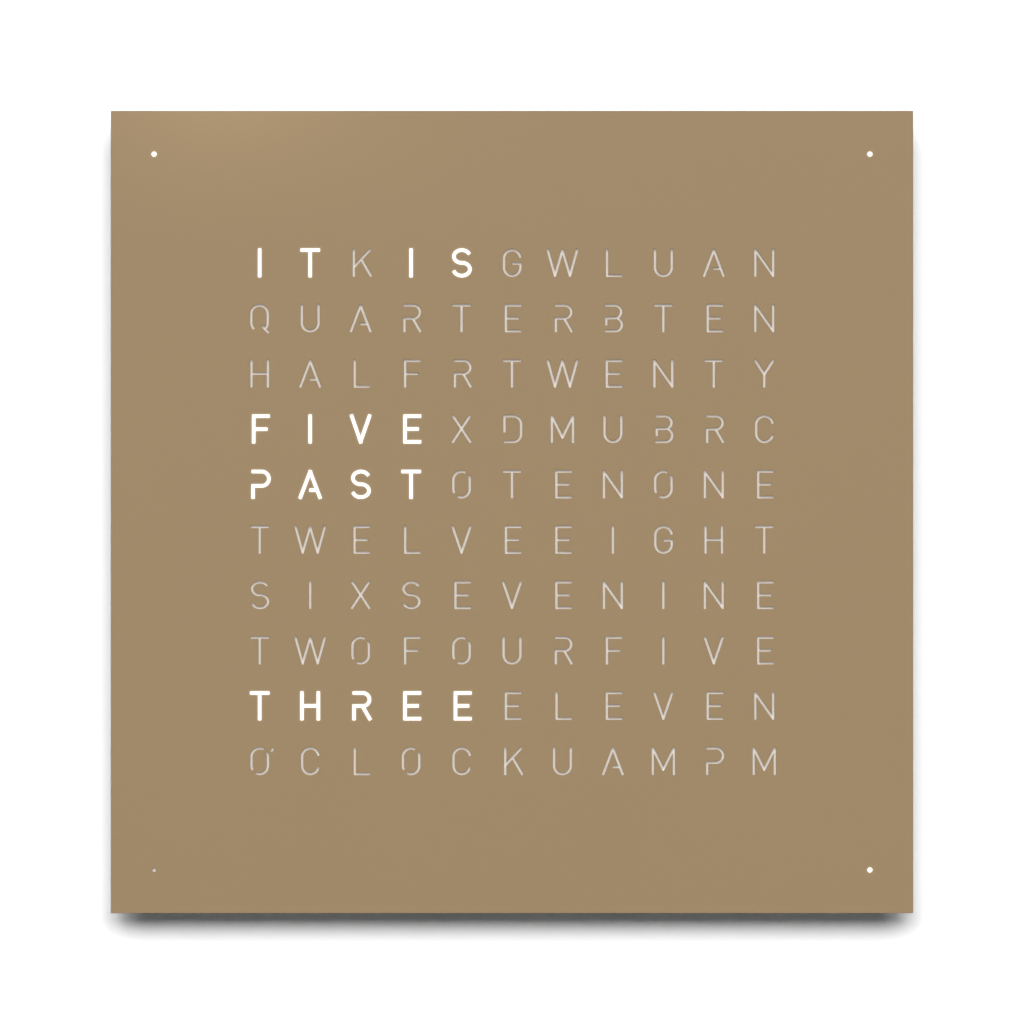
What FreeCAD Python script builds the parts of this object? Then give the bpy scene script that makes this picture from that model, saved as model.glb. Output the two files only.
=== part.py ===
import FreeCAD, Part
import math
import os
from FreeCAD import Vector

# A wall clock that tells the time in lit words. A square sheet steel cover sits on
# magnets in a slightly smaller mitred frame. Behind it a carrier panel holds an opal
# sheet over a moulded light grid, one tapered chamber per letter, with one lamp each.
# Four more lamps shine through the cover's corners and count single minutes.
#
# Millimetres. +X is right, +Z is up and the front faces -Y. The origin is the middle
# of the clock on the wall plane, y = 0. A depth is a distance in front of that plane.

# Whole clock
COVER_SIDE = 450.0
CLOCK_DEPTH = 20.0
COVER_OVERHANG = 8.0

# Front cover
COVER_THICK = 1.5
COVER_EDGE_ROUND = 0.3
MINUTE_DOT_INSET = 24.3
MINUTE_DOT_RADIUS = 1.5
STUD_RADIUS = 1.5
STUD_LENGTH = 3.0
STUD_TIP_BEVEL = 0.5
STUD_HOLE_CLEARANCE = 0.3
STUD_OFFSET = 175.0

# Frame rails
RAIL_WALL = 2.0
FLANGE_WIDTH = 12.0
FLANGE_THICK = 3.5
LEDGE_WIDTH = 8.0
LEDGE_THICK = 2.0
RAIL_INNER_ROUND = 0.8

# Magnets in the frame
MAGNET_RADIUS = 4.0
MAGNET_THICK = 2.5
MAGNET_CLEARANCE = 0.1
MAGNET_OFFSET = 110.0

# Corner brackets inside the rails
BRACKET_LEG = 32.0
BRACKET_THICK = 4.0
BRACKET_GAP = 0.1
BRACKET_HOLE_OFFSET = 24.0
BRACKET_INNER_ROUND = 3.0

# Rear panel and its keyholes
PANEL_THICK = 1.5
PANEL_CLEARANCE = 0.3
PANEL_CORNER_CUT = 2.0
PANEL_SCREW_OFFSET = 150.0
KEYHOLE_SPACING = 300.0
KEYHOLE_DROP = 38.7
KEYHOLE_ENTRY_RADIUS = 4.5
KEYHOLE_SLOT_WIDTH = 4.6
KEYHOLE_RISE = 9.0

# Wall pads
PAD_THICK = 2.0
PAD_RADIUS = 7.0
PAD_INSET = 24.7
PAD_EDGE_ROUND = 0.6

# Screws
SCREW_RADIUS = 1.5
SCREW_HEAD_RADIUS = 2.7
SCREW_HEAD_HEIGHT = 1.2
SCREW_SOCKET_WIDTH = 2.0
SCREW_SOCKET_DEPTH = 0.9
SCREW_CLEARANCE = 0.2
THREAD_GAP = 0.05
PANEL_SCREW_LENGTH = 5.0
GRID_SCREW_LENGTH = 13.0
CARRIER_SCREW_LENGTH = 8.0
BRACKET_SCREW_BITE = 1.4
PAN_HEAD_RADIUS = 2.6
PAN_HEAD_HEIGHT = 1.7
BLIND_SPARE = 0.5

# Letter field
COLUMNS = 11
ROWS = 10
LETTER_MARGIN_X = 69.35
LETTER_MARGIN_Z = 69.75

# Light grid
GRID_DEPTH = 7.5
GRID_WALL = 1.4
GRID_FACE_THICK = 1.0
GRID_LAMP_OPENING = 9.0
GRID_RIB_THICK = 0.9
GRID_RIB_HEIGHT = 3.0
GRID_BOSS_RADIUS = 3.0
BOSS_COLUMN_STEPS = (-4.5, -1.5, 1.5, 4.5)
BOSS_ROW_STEPS = (-4, 0, 4)

# Opal sheet
OPAL_THICK = 0.5
OPAL_LAP = 3.0
OPAL_CLEARANCE = 0.2
COVER_BACK_GAP = 0.2

# Carrier panel
CARRIER_THICK = 2.0
CARRIER_CLEARANCE = 0.3
PILLAR_RADIUS = 3.0
PILLAR_NEAR = 120.0
PILLAR_INSET = 18.7

# Lamp board and lamps
BOARD_THICK = 1.6
BOARD_MARGIN = 3.0
BOARD_CORNER_ROUND = 2.0
LAMP_SIDE = 5.0
LAMP_HEIGHT = 1.6
LAMP_MARK = 1.2
SPACER_RADIUS = 3.0

# Corner lights
CUP_OUTER = 8.0
CUP_FLANGE = 14.0
CUP_FLANGE_THICK = 1.5
CUP_LAMP_OPENING = 5.6
CUP_FRONT_OPENING = 3.6
CUP_SHIFT = 3.0
LENS_RADIUS = 2.6
LENS_CLEARANCE = 0.1
LEAD_RADIUS = 0.9
LEAD_DROP = 40.0

# Control board
CONTROL_WIDTH = 210.0
CONTROL_HEIGHT = 42.0
CONTROL_EDGE_GAP = 0.5
CONTROL_NOTCH_GAP = 1.0
CONTROL_HOLE_INSET_X = 5.0
CONTROL_HOLE_TOP = 4.5
CONTROL_HOLE_BOTTOM = 16.0
CONTROL_SCREW_TIP_GAP = 0.2

# Things along the bottom edge
EDGE_PART_HEIGHT = 7.2
EDGE_PART_GAP = 0.2
BUTTON_NAMES = ("hour", "minute", "light")
BUTTON_FIRST_X = -60.0
BUTTON_PITCH = 20.0
BUTTON_RADIUS = 2.5
BUTTON_PROUD = 1.6
BUTTON_CROWN = 0.5
BUTTON_HOLE_CLEARANCE = 0.3
BUTTON_FLANGE_RADIUS = 3.3
BUTTON_FLANGE_THICK = 0.8
BUTTON_SEAT_GAP = 0.05
BUTTON_TRAVEL = 1.0
SWITCH_WIDTH = 6.0
SWITCH_LENGTH = 4.5
SWITCH_GAP = 4.0
SWITCH_ENTRY = 1.3
SWITCH_END_GAP = 0.4
PLUNGER_RADIUS = 1.4
PLUNGER_CLEARANCE = 0.3
JACK_X = 60.0
JACK_WIDTH = 9.0
JACK_LENGTH = 11.0
JACK_NOSE_RADIUS = 3.3
JACK_NOSE_CLEARANCE = 0.2
JACK_MOUTH_RADIUS = 2.8
JACK_MOUTH_DEPTH = 9.5
JACK_PIN_RADIUS = 1.0
JACK_PIN_SETBACK = 1.0
SENSOR_X = 15.0
SENSOR_RADIUS = 1.5
SENSOR_CLEARANCE = 0.2
SENSOR_HOLDER_WIDTH = 5.0
SENSOR_HOLDER_LENGTH = 4.0
SENSOR_HOLDER_GAP = 3.5

# Parts on the control board
CHIP_SIDE = 12.0
CHIP_THICK = 1.4
CHIP_BEVEL = 0.5
CHIP_X = 2.0
CHIP_RISE = 22.0
CRYSTAL_LENGTH = 11.0
CRYSTAL_WIDTH = 4.6
CRYSTAL_THICK = 3.5
CRYSTAL_X = 24.0
CAPACITOR_RADIUS = 4.0
CAPACITOR_LENGTH = 6.5
CAPACITOR_BASE = 1.0
CAPACITOR_INSET = 23.0
REGULATOR_WIDTH = 6.5
REGULATOR_LENGTH = 7.0
REGULATOR_THICK = 1.7
REGULATOR_TAB = 0.4
REGULATOR_SHIFT = 2.0
HOLDER_SIDE = 24.0
HOLDER_THICK = 5.4
HOLDER_FLOOR = 1.2
HOLDER_INSET = 25.0
HOLDER_LIP_CUT = 12.0
CELL_RADIUS = 10.0
CELL_THICK = 3.2
CELL_CLEARANCE = 0.3
SOCKET_WIDTH = 15.0
SOCKET_LENGTH = 5.5
SOCKET_THICK = 3.0
LINK_X = 42.0
LINK_WIDTH = 12.0
LINK_THICK = 0.8
LINK_INSET = 6.0

# Worked out from the sizes above
BODY_HALF = COVER_SIDE / 2 - COVER_OVERHANG
COVER_BACK = CLOCK_DEPTH - COVER_THICK
DOT_OFFSET = COVER_SIDE / 2 - MINUTE_DOT_INSET
PANEL_BACK = PAD_THICK
PANEL_FRONT = PANEL_BACK + PANEL_THICK
PANEL_HALF = BODY_HALF - RAIL_WALL - PANEL_CLEARANCE
FLANGE_BACK = COVER_BACK - FLANGE_THICK
FLANGE_MIDDLE = BODY_HALF - FLANGE_WIDTH / 2
LEDGE_MIDDLE = BODY_HALF - RAIL_WALL - LEDGE_WIDTH / 2
CARRIER_FRONT = COVER_BACK - COVER_BACK_GAP
CARRIER_BACK = CARRIER_FRONT - CARRIER_THICK
CARRIER_HALF = BODY_HALF - FLANGE_WIDTH - CARRIER_CLEARANCE
PILLAR_FAR = CARRIER_HALF - PILLAR_INSET
PAD_OFFSET = PANEL_HALF - PAD_INSET
KEYHOLE_HEIGHT = PANEL_HALF - KEYHOLE_DROP
COLUMN_PITCH = (COVER_SIDE - 2 * LETTER_MARGIN_X) / COLUMNS
ROW_PITCH = (COVER_SIDE - 2 * LETTER_MARGIN_Z) / ROWS
GRID_FRONT = CARRIER_FRONT - OPAL_THICK
GRID_BACK = GRID_FRONT - GRID_DEPTH
GRID_HALF_X = COLUMNS * COLUMN_PITCH / 2 + GRID_WALL
GRID_HALF_Z = ROWS * ROW_PITCH / 2 + GRID_WALL
OPAL_HALF_X = GRID_HALF_X + OPAL_LAP
OPAL_HALF_Z = GRID_HALF_Z + OPAL_LAP
BOARD_BACK = GRID_BACK - BOARD_THICK
BOARD_HALF_X = GRID_HALF_X + BOARD_MARGIN
BOARD_HALF_Z = GRID_HALF_Z + BOARD_MARGIN
CONTROL_FRONT = FLANGE_BACK - EDGE_PART_GAP - EDGE_PART_HEIGHT
CONTROL_BACK = CONTROL_FRONT - BOARD_THICK
CONTROL_BOTTOM = -(BODY_HALF - RAIL_WALL - CONTROL_EDGE_GAP)
CONTROL_TOP = CONTROL_BOTTOM + CONTROL_HEIGHT
HOLDER_X = -(CONTROL_WIDTH / 2 - HOLDER_INSET)
CAPACITOR_X = CONTROL_WIDTH / 2 - CAPACITOR_INSET
REGULATOR_X = JACK_X + REGULATOR_SHIFT
EDGE_DEPTH = CONTROL_FRONT + EDGE_PART_HEIGHT / 2
WALL_INSIDE = -(BODY_HALF - RAIL_WALL)
PANEL_HOLE_RADIUS = SCREW_RADIUS + SCREW_CLEARANCE
THREAD_RADIUS = SCREW_RADIUS + THREAD_GAP


def at(x, depth, z):
    """Point at a depth in front of the wall plane."""
    return Vector(x, -depth, z)


def block(x0, x1, depth0, depth1, z0, z1):
    """Box between two limits on each axis."""
    return Part.makeBox(x1 - x0, depth1 - depth0, z1 - z0, at(x0, depth1, z0))


def slab(x, z, half_x, half_z, depth0, depth1):
    """Box centred on x and z."""
    return block(x - half_x, x + half_x, depth0, depth1, z - half_z, z + half_z)


def rod(x, z, radius, depth0, depth1):
    """Cylinder square to the wall."""
    return Part.makeCylinder(radius, depth1 - depth0, at(x, depth1, z), Vector(0, 1, 0))


def cone(x, z, radius0, depth0, radius1, depth1):
    """Cone square to the wall, with a radius at each depth."""
    return Part.makeCone(radius1, radius0, depth1 - depth0, at(x, depth1, z), Vector(0, 1, 0))


def upright(x, depth, radius, z0, z1):
    """Cylinder along Z."""
    return Part.makeCylinder(radius, z1 - z0, at(x, depth, z0), Vector(0, 0, 1))


def rounded_wire(corners, radii):
    """Closed flat wire through corners, each one turned by a tangent arc of its radius."""
    entries = []
    exits = []
    arcs = []
    count = len(corners)
    for index, corner in enumerate(corners):
        before = (corners[index - 1] - corner).normalize()
        after = (corners[(index + 1) % count] - corner).normalize()
        half_angle = before.getAngle(after) / 2
        radius = radii[index]
        run = radius / math.tan(half_angle)
        entries.append(corner + before * run)
        exits.append(corner + after * run)
        if radius > 0:
            bisector = (before + after).normalize()
            middle = corner + bisector * (radius / math.sin(half_angle) - radius)
            arcs.append(Part.Arc(entries[-1], middle, exits[-1]).toShape())
        else:
            arcs.append(None)
    edges = []
    for index in range(count):
        if arcs[index]:
            edges.append(arcs[index])
        following = entries[(index + 1) % count]
        if exits[index].distanceToPoint(following) > 1e-6:
            edges.append(Part.LineSegment(exits[index], following).toShape())
    return Part.Wire(edges)


def sharp_wire(corners):
    """Closed flat wire with straight sides."""
    return rounded_wire(corners, [0.0] * len(corners))


def rectangle(x, z, half_x, half_z, depth, radius=0.0):
    """Rectangle parallel to the wall, with rounded corners."""
    corners = [
        at(x - half_x, depth, z - half_z),
        at(x + half_x, depth, z - half_z),
        at(x + half_x, depth, z + half_z),
        at(x - half_x, depth, z + half_z),
    ]
    return rounded_wire(corners, [radius] * len(corners))


def plate(x, z, half_x, half_z, depth0, depth1, radius):
    """Sheet parallel to the wall, with rounded corners."""
    face = Part.Face(rectangle(x, z, half_x, half_z, depth1, radius))
    return face.extrude(Vector(0, depth1 - depth0, 0))


def frustum(x, z, depth0, half_x0, half_z0, depth1, half_x1, half_z1):
    """Four-sided tapered solid of flat faces, with a rectangle at each depth."""
    rings = []
    for depth, half_x, half_z in ((depth0, half_x0, half_z0), (depth1, half_x1, half_z1)):
        ring = []
        for sign_x, sign_z in ((-1, -1), (1, -1), (1, 1), (-1, 1)):
            ring.append(at(x + sign_x * half_x, depth, z + sign_z * half_z))
        rings.append(ring)
    rear, front = rings
    faces = [Part.Face(sharp_wire(rear)), Part.Face(sharp_wire(front))]
    for side in range(4):
        following = (side + 1) % 4
        flank = [rear[side], rear[following], front[following], front[side]]
        faces.append(Part.Face(sharp_wire(flank)))
    solid = Part.makeSolid(Part.makeShell(faces))
    solid.fix(1e-7, 1e-7, 1e-7)
    return solid


def turned(shape, quarters):
    """Copy turned about the clock's middle, in quarter turns from top towards right."""
    copy = shape.copy()
    copy.rotate(Vector(0, 0, 0), Vector(0, 1, 0), 90 * quarters)
    return copy


def group(shapes):
    """Separate solids kept in one node."""
    return Part.makeCompound(shapes)


def socket(x, z, depth0, depth1):
    """Six-sided recess for a key."""
    radius = SCREW_SOCKET_WIDTH / math.sqrt(3)
    corners = []
    for step in range(6):
        angle = math.radians(60 * step)
        corners.append(at(x + radius * math.cos(angle), depth1, z + radius * math.sin(angle)))
    face = Part.Face(sharp_wire(corners))
    return face.extrude(Vector(0, depth1 - depth0, 0))


def rear_screw(x, z, length):
    """Countersunk screw driven forwards from the rear panel's face."""
    head_end = PANEL_BACK + SCREW_HEAD_HEIGHT
    head = cone(x, z, SCREW_HEAD_RADIUS, PANEL_BACK, SCREW_RADIUS, head_end)
    shank = rod(x, z, SCREW_RADIUS, head_end, PANEL_BACK + length)
    recess = socket(x, z, PANEL_BACK, PANEL_BACK + SCREW_SOCKET_DEPTH)
    return head.fuse(shank).cut(recess).removeSplitter()


def rear_sink(x, z):
    """Clearance hole and countersink in the rear panel for one screw."""
    spread = SCREW_CLEARANCE
    head_end = PANEL_BACK + SCREW_HEAD_HEIGHT
    sink = cone(x, z, SCREW_HEAD_RADIUS + spread, PANEL_BACK, PANEL_HOLE_RADIUS, head_end)
    return sink.fuse(rod(x, z, PANEL_HOLE_RADIUS, PANEL_BACK, PANEL_FRONT))


def carrier_screw(x, z):
    """Countersunk screw driven back from the carrier panel's face."""
    head_end = CARRIER_FRONT - SCREW_HEAD_HEIGHT
    head = cone(x, z, SCREW_RADIUS, head_end, SCREW_HEAD_RADIUS, CARRIER_FRONT)
    shank = rod(x, z, SCREW_RADIUS, CARRIER_FRONT - CARRIER_SCREW_LENGTH, head_end)
    recess = socket(x, z, CARRIER_FRONT - SCREW_SOCKET_DEPTH, CARRIER_FRONT)
    return head.fuse(shank).cut(recess).removeSplitter()


def carrier_sink(x, z):
    """Clearance hole and countersink in the carrier panel for one screw."""
    spread = SCREW_CLEARANCE
    head_end = CARRIER_FRONT - SCREW_HEAD_HEIGHT
    sink = cone(x, z, PANEL_HOLE_RADIUS, head_end, SCREW_HEAD_RADIUS + spread, CARRIER_FRONT)
    return sink.fuse(rod(x, z, PANEL_HOLE_RADIUS, CARRIER_BACK, CARRIER_FRONT))


def corner_signs():
    """Names and signs of the four corners as seen from the front."""
    return {
        "top_left": (-1, 1),
        "top_right": (1, 1),
        "bottom_right": (1, -1),
        "bottom_left": (-1, -1),
    }


def both_sides(offset):
    """The same offset on each side of the middle."""
    return (-offset, offset)


def panel_screw_spots():
    """Where screws join the rear panel to the rail ledges."""
    spots = []
    for along in both_sides(PANEL_SCREW_OFFSET):
        for across in both_sides(LEDGE_MIDDLE):
            spots.append((along, across))
            spots.append((across, along))
    return spots


def grid_boss_spots():
    """Where screws hold the light grid, on corners shared by four chambers."""
    spots = []
    for column in BOSS_COLUMN_STEPS:
        for row in BOSS_ROW_STEPS:
            spots.append((column * COLUMN_PITCH, row * ROW_PITCH))
    return spots


def pillar_spots():
    """Where pillars hold the carrier panel."""
    spots = []
    for near in both_sides(PILLAR_NEAR):
        for far in both_sides(PILLAR_FAR):
            spots.append((near, far))
            spots.append((far, near))
    return spots


def control_screw_spots():
    """Where screws hold the control board."""
    spots = []
    for x in both_sides(CONTROL_WIDTH / 2 - CONTROL_HOLE_INSET_X):
        spots.append((x, CONTROL_TOP - CONTROL_HOLE_TOP))
        spots.append((x, CONTROL_BOTTOM + CONTROL_HOLE_BOTTOM))
    return spots


def cell_centres():
    """Middle of each letter's chamber, row by row."""
    centres = []
    for row in range(ROWS):
        z = (row - (ROWS - 1) / 2) * ROW_PITCH
        for column in range(COLUMNS):
            x = (column - (COLUMNS - 1) / 2) * COLUMN_PITCH
            centres.append((x, z))
    return centres


def make_front_cover():
    """Sheet steel cover with four minute dots and a softened front rim."""
    half = COVER_SIDE / 2
    sheet = slab(0, 0, half, half, COVER_BACK, CLOCK_DEPTH)
    rim = [edge for edge in sheet.Edges if edge.BoundBox.YMax < -CLOCK_DEPTH + 1e-6]
    sheet = sheet.makeFillet(COVER_EDGE_ROUND, rim)
    dots = []
    for side_x, side_z in corner_signs().values():
        dots.append(
            rod(side_x * DOT_OFFSET, side_z * DOT_OFFSET, MINUTE_DOT_RADIUS, COVER_BACK, CLOCK_DEPTH)
        )
    return sheet.cut(dots)


def make_cover_studs():
    """Locating studs welded to the cover's back."""
    studs = []
    tip = COVER_BACK - STUD_LENGTH
    for x in both_sides(FLANGE_MIDDLE):
        for z in both_sides(STUD_OFFSET):
            shank = rod(x, z, STUD_RADIUS, tip + STUD_TIP_BEVEL, COVER_BACK)
            bevel_radius = STUD_RADIUS - STUD_TIP_BEVEL
            bevel = cone(x, z, bevel_radius, tip, STUD_RADIUS, tip + STUD_TIP_BEVEL)
            studs.append(shank.fuse(bevel).removeSplitter())
    return group(studs)


def bracket_screw_lengths():
    """Distance along a rail of each bracket screw from the clock's middle."""
    return both_sides(BODY_HALF - BRACKET_HOLE_OFFSET)


def make_rail(quarters, with_studs):
    """Mitred rail of C section, made at the top and turned into place."""
    wall_in = BODY_HALF - RAIL_WALL
    ledge_in = wall_in - LEDGE_WIDTH
    flange_in = BODY_HALF - FLANGE_WIDTH
    ledge_front = PANEL_FRONT + LEDGE_THICK
    start = -BODY_HALF
    corners = [
        at(start, PANEL_BACK, BODY_HALF),
        at(start, PANEL_BACK, wall_in),
        at(start, PANEL_FRONT, wall_in),
        at(start, PANEL_FRONT, ledge_in),
        at(start, ledge_front, ledge_in),
        at(start, ledge_front, wall_in),
        at(start, FLANGE_BACK, wall_in),
        at(start, FLANGE_BACK, flange_in),
        at(start, COVER_BACK, flange_in),
        at(start, COVER_BACK, BODY_HALF),
    ]
    radii = [0.0] * len(corners)
    radii[5] = RAIL_INNER_ROUND
    radii[6] = RAIL_INNER_ROUND
    bar = Part.Face(rounded_wire(corners, radii)).extrude(Vector(2 * BODY_HALF, 0, 0))
    mitre = sharp_wire(
        [at(0, 0, 0), at(BODY_HALF, 0, BODY_HALF), at(-BODY_HALF, 0, BODY_HALF)]
    )
    rail = bar.common(Part.Face(mitre).extrude(Vector(0, -CLOCK_DEPTH, 0)))
    cuts = []
    for x in both_sides(MAGNET_OFFSET):
        pocket = MAGNET_RADIUS + MAGNET_CLEARANCE
        cuts.append(rod(x, FLANGE_MIDDLE, pocket, COVER_BACK - MAGNET_THICK, COVER_BACK))
    for x in both_sides(PANEL_SCREW_OFFSET):
        cuts.append(rod(x, LEDGE_MIDDLE, THREAD_RADIUS, PANEL_FRONT, ledge_front))
    if with_studs:
        hole = STUD_RADIUS + STUD_HOLE_CLEARANCE
        for x in both_sides(STUD_OFFSET):
            cuts.append(rod(x, FLANGE_MIDDLE, hole, FLANGE_BACK, COVER_BACK))
    middle_depth = (ledge_front + FLANGE_BACK) / 2
    for x in bracket_screw_lengths():
        blind = wall_in + BRACKET_SCREW_BITE + THREAD_GAP
        cuts.append(upright(x, middle_depth, THREAD_RADIUS, wall_in, blind))
    return turned(rail.cut(cuts), quarters)


def ledge_notch():
    """Length of the bottom ledge that is cut away for the control board's solder joints."""
    half = CONTROL_WIDTH / 2 + CONTROL_NOTCH_GAP
    return slab(0, -LEDGE_MIDDLE, half, LEDGE_WIDTH / 2, PANEL_FRONT, PANEL_FRONT + LEDGE_THICK)


def edge_holes():
    """Holes in the bottom rail for the buttons, the sensor and the power inlet."""
    low = -BODY_HALF
    holes = []
    for x in button_places():
        radius = BUTTON_RADIUS + BUTTON_HOLE_CLEARANCE
        holes.append(upright(x, EDGE_DEPTH, radius, low, WALL_INSIDE))
    sensor_hole = SENSOR_RADIUS + SENSOR_CLEARANCE
    holes.append(upright(SENSOR_X, EDGE_DEPTH, sensor_hole, low, WALL_INSIDE))
    jack_hole = JACK_NOSE_RADIUS + JACK_NOSE_CLEARANCE
    holes.append(upright(JACK_X, EDGE_DEPTH, jack_hole, low, CONTROL_BOTTOM))
    return holes


def make_corner_bracket(quarters):
    """Angle that joins two rails, made at the top left and turned into place."""
    outer = BODY_HALF - RAIL_WALL - BRACKET_GAP
    inner = outer - BRACKET_THICK
    end = outer - BRACKET_LEG
    back = PANEL_FRONT + LEDGE_THICK + RAIL_INNER_ROUND + BRACKET_GAP
    front = FLANGE_BACK - RAIL_INNER_ROUND - BRACKET_GAP
    corners = [
        at(-outer, front, outer),
        at(-outer, front, end),
        at(-inner, front, end),
        at(-inner, front, inner),
        at(-end, front, inner),
        at(-end, front, outer),
    ]
    outer_round = RAIL_INNER_ROUND
    radii = [outer_round, 0.0, 0.0, BRACKET_INNER_ROUND, 0.0, 0.0]
    angle = Part.Face(rounded_wire(corners, radii)).extrude(Vector(0, front - back, 0))
    middle_depth = (back + front) / 2
    along = BODY_HALF - BRACKET_HOLE_OFFSET
    hole = PANEL_HOLE_RADIUS
    first = upright(-along, middle_depth, hole, inner, outer)
    second = turned(upright(along, middle_depth, hole, inner, outer), -1)
    return turned(angle.cut([first, second]), quarters)


def make_bracket_screws():
    """Pan head screws that draw each bracket against the rails."""
    outer = BODY_HALF - RAIL_WALL
    inner = outer - BRACKET_GAP - BRACKET_THICK
    middle_depth = (PANEL_FRONT + LEDGE_THICK + FLANGE_BACK) / 2
    screws = []
    for quarters in range(4):
        for x in bracket_screw_lengths():
            head = upright(x, middle_depth, PAN_HEAD_RADIUS, inner - PAN_HEAD_HEIGHT, inner)
            end = outer + BRACKET_SCREW_BITE
            shank = upright(x, middle_depth, SCREW_RADIUS, inner, end)
            screws.append(turned(head.fuse(shank).removeSplitter(), quarters))
    return group(screws)


def make_magnets():
    """Disc magnets flush with the frame's front."""
    magnets = []
    for quarters in range(4):
        for x in both_sides(MAGNET_OFFSET):
            disc = rod(x, FLANGE_MIDDLE, MAGNET_RADIUS, COVER_BACK - MAGNET_THICK, COVER_BACK)
            magnets.append(turned(disc, quarters))
    return group(magnets)


def keyhole(x):
    """Round entry for a wall screw's head, with a narrow slot above it."""
    entry = rod(x, KEYHOLE_HEIGHT, KEYHOLE_ENTRY_RADIUS, PANEL_BACK, PANEL_FRONT)
    top = KEYHOLE_HEIGHT + KEYHOLE_RISE
    half = KEYHOLE_SLOT_WIDTH / 2
    neck = block(x - half, x + half, PANEL_BACK, PANEL_FRONT, KEYHOLE_HEIGHT, top)
    end = rod(x, top, half, PANEL_BACK, PANEL_FRONT)
    return entry.fuse([neck, end])


def make_rear_panel():
    """Sheet that closes the back, with keyholes and countersunk holes."""
    panel = plate(0, 0, PANEL_HALF, PANEL_HALF, PANEL_BACK, PANEL_FRONT, PANEL_CORNER_CUT)
    cuts = [keyhole(x) for x in both_sides(KEYHOLE_SPACING / 2)]
    cuts += [rear_sink(x, z) for x, z in panel_screw_spots() + grid_boss_spots()]
    return panel.cut(cuts)


def make_wall_pads():
    """Soft round feet that hold the clock off the wall."""
    pads = []
    for x in both_sides(PAD_OFFSET):
        for z in both_sides(PAD_OFFSET):
            pad = rod(x, z, PAD_RADIUS, 0, PAD_THICK)
            rim = [edge for edge in pad.Edges if edge.BoundBox.YMin > -1e-6]
            pads.append(pad.makeFillet(PAD_EDGE_ROUND, rim))
    return group(pads)


def make_light_grid():
    """One-piece moulding of tapered chambers that keeps each letter's light apart.

    A thin face joins the chambers at the front. Behind it each chamber is a funnel
    of even wall that narrows to its lamp, with low ribs in the valleys between.
    Screw bosses stand where four chambers meet, and a rim closes the outside.
    """
    face_back = GRID_FRONT - GRID_FACE_THICK
    lamp_half = GRID_LAMP_OPENING / 2
    mouth_x = (COLUMN_PITCH - GRID_WALL) / 2
    mouth_z = (ROW_PITCH - GRID_WALL) / 2
    share = (face_back - GRID_BACK) / GRID_DEPTH
    skirt_x = lamp_half + GRID_WALL + (mouth_x - lamp_half) * share
    skirt_z = lamp_half + GRID_WALL + (mouth_z - lamp_half) * share
    foot = lamp_half + GRID_WALL
    funnel = frustum(0, 0, GRID_BACK, foot, foot, face_back, skirt_x, skirt_z)
    chamber = frustum(0, 0, GRID_BACK, lamp_half, lamp_half, GRID_FRONT, mouth_x, mouth_z)
    solid_parts = []
    chambers = []
    for x, z in cell_centres():
        solid_parts.append(funnel.translated(Vector(x, 0, z)))
        chambers.append(chamber.translated(Vector(x, 0, z)))
    for x, z in grid_boss_spots():
        solid_parts.append(rod(x, z, GRID_BOSS_RADIUS, GRID_BACK, face_back))
    solid_parts.append(grid_rim(face_back))
    solid_parts += grid_ribs(face_back)
    face = slab(0, 0, GRID_HALF_X, GRID_HALF_Z, face_back, GRID_FRONT)
    moulding = face.fuse(solid_parts).cut(chambers)
    screw_end = PANEL_BACK + GRID_SCREW_LENGTH + BLIND_SPARE
    holes = [rod(x, z, THREAD_RADIUS, GRID_BACK, screw_end) for x, z in grid_boss_spots()]
    return moulding.cut(holes).removeSplitter()


def grid_rim(face_back):
    """Outer wall of the light grid, from the lamp board to the face."""
    outside = slab(0, 0, GRID_HALF_X, GRID_HALF_Z, GRID_BACK, face_back)
    inner_x = GRID_HALF_X - GRID_WALL
    inner_z = GRID_HALF_Z - GRID_WALL
    return outside.cut(slab(0, 0, inner_x, inner_z, GRID_BACK, face_back))


def grid_ribs(face_back):
    """Stiffening ribs on the face's back, in the valleys between chambers."""
    half = GRID_RIB_THICK / 2
    rib_back = face_back - GRID_RIB_HEIGHT
    reach_x = GRID_HALF_X - GRID_WALL
    reach_z = GRID_HALF_Z - GRID_WALL
    ribs = []
    for row in range(1, ROWS):
        z = (row - ROWS / 2) * ROW_PITCH
        ribs.append(slab(0, z, reach_x, half, rib_back, face_back))
    for column in range(1, COLUMNS):
        x = (column - COLUMNS / 2) * COLUMN_PITCH
        ribs.append(slab(x, 0, half, reach_z, rib_back, face_back))
    return ribs


def make_opal_sheet():
    """Translucent sheet in front of the light grid."""
    return slab(0, 0, OPAL_HALF_X, OPAL_HALF_Z, GRID_FRONT, CARRIER_FRONT)


def make_carrier_panel():
    """Inner front panel with a stepped window for the grid and the opal sheet."""
    panel = slab(0, 0, CARRIER_HALF, CARRIER_HALF, CARRIER_BACK, CARRIER_FRONT)
    window_x = GRID_HALF_X + CARRIER_CLEARANCE
    window_z = GRID_HALF_Z + CARRIER_CLEARANCE
    step_x = OPAL_HALF_X + OPAL_CLEARANCE
    step_z = OPAL_HALF_Z + OPAL_CLEARANCE
    cuts = [
        slab(0, 0, window_x, window_z, CARRIER_BACK, CARRIER_FRONT),
        slab(0, 0, step_x, step_z, GRID_FRONT, CARRIER_FRONT),
    ]
    cuts += [carrier_sink(x, z) for x, z in pillar_spots()]
    for side_x, side_z in corner_signs().values():
        radius = LENS_RADIUS + LENS_CLEARANCE
        x = side_x * DOT_OFFSET
        z = side_z * DOT_OFFSET
        cuts.append(rod(x, z, radius, CARRIER_BACK, CARRIER_FRONT))
    return panel.cut(cuts)


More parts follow.
